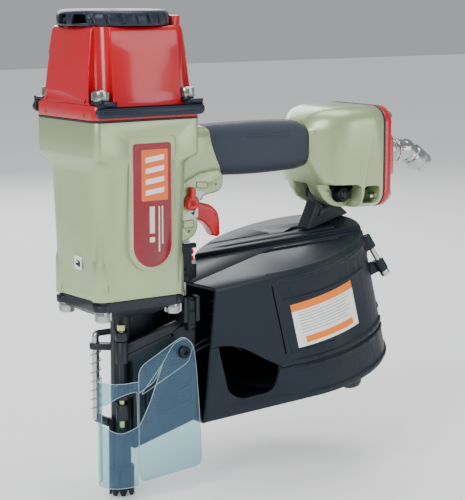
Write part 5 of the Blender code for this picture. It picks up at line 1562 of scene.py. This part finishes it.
def makeBracket(s):
    bx, bz, half = bodySizes["bracketX"], bodySizes["bracketZ"], 7.6
    top = s["height"] + s["step"]
    x0, x1 = bx - 24, bx + 22
    arm = slab([(x0, slant(x0, top) + gap), (x1, slant(x1, top) + gap), (bx + 11, bz - 11.5),
                (bx + 9, bz + 4.5), (bx - 7, bz + 6.5), (bx - 15, bz + 2.5), (bx - 13, bz - 7.5)], 3, "Y",
               -half, half)
    softened(arm, 0.9, 3, 34)
    for side in (-1, 1):
        cut(arm, slab([(bx - 12, bz - 20), (bx + 8, bz - 16), (bx + 4, bz - 9), (bx - 8, bz - 9)], 2, "Y",
                      side * half - 1.4, side * half + 1.4))
    cut(arm, crossways(rod(boltHole, -30, 30, 24), bx, bz))
    shown(arm, "magazineArm", "darkAlloy", nodes=("magazine_bracket",))
    bolt = crossways(capScrew(screwSizes, 0, 44), bx, bz, -20 - gap, -1)
    shown(bolt, "magazineBolt", "blackSteel", nodes=("bracket_bolt",))
    foot = lathe([(0, -gap), (9, -gap), (9.2, -2), (8.8, -4.6), (8.2, -6.4), (7, -7.8), (4.4, -8), (4, -7),
                  (0, -7)], 48)
    shown(inMagazine(moved(foot, 6, 16 - s["radius"])), "magazineFoot", "blackRubber",
          nodes=("rubber_foot",))
    low, high = s["x"] - 89, s["x"] - 55
    rest = slab([(low, slant(low, 0) - gap), (high, slant(high, 0) - gap), (high, slant(high, -9)),
                 (high - 7, slant(high - 7, -10)), (high - 13, slant(high - 13, -6)),
                 (low + 12, slant(low + 12, -6)), (low + 7, slant(low + 7, -10)), (low, slant(low, -9))], 1.4,
                "Y", s["y"] - 2, s["y"] + 10)
    shown(softened(rest, 0.6, 3, 40), "magazineRest", "darkPlastic",
          nodes=("magazine_rest",))


def makeFeedCylinder(nose):
    near, z, y = nose["wallOut"] + gap, nose["feedZ"], nose["wallOut"] + gap + 10
    barrel = softened(block(12, 60, near, near + 19, z - 10, z + 10), 1.4, 3, 40)
    for x in (20, 30, 40, 50):
        cut(barrel, prism(bar(x, z - 6, x, z + 6, 1.2, 8), "Y", near + 18, near + 22))
    cut(barrel, lengthways(rod(7, 20, 80, 40), 0, y, z), lengthways(rod(3.3, 0, 80, 24), 0, y, z),
        block(5, 44, near - 5, y, z - 6.5, z + 6.5))
    shown(barrel, "feedBarrel", "darkAlloy", nodes=("feed_cylinder",))


makeMagazine(canSizes)
makeLabel(noticeSizes, canSizes)
makeBracket(canSizes)
makeFeedCylinder(noseSizes)
print("magazine made")


# finishes for the frame's own parts that stay in view

ownFinish = {"cylinder_sleeve": "steel", "bumper": "bumperRubber", "driver_piston": "alloy",
             "piston_ring": "blackRubber", "head_valve_piston": "alloy", "head_valve_spring": "steel",
             "trigger_valve_body": "blackSteel", "trigger_valve_stem": "steel", "contact_arm_top": "steel",
             "contact_arm_spring": "steel", "nail_spindle": "darkPlastic", "nail_support": "blackSteel",
             "feed_pawl": "steel"}
for node, finish in ownFinish.items():
    for place in frame["nodes"][node].material_slots:
        place.material = finishes[finish]
print("inner parts finished")
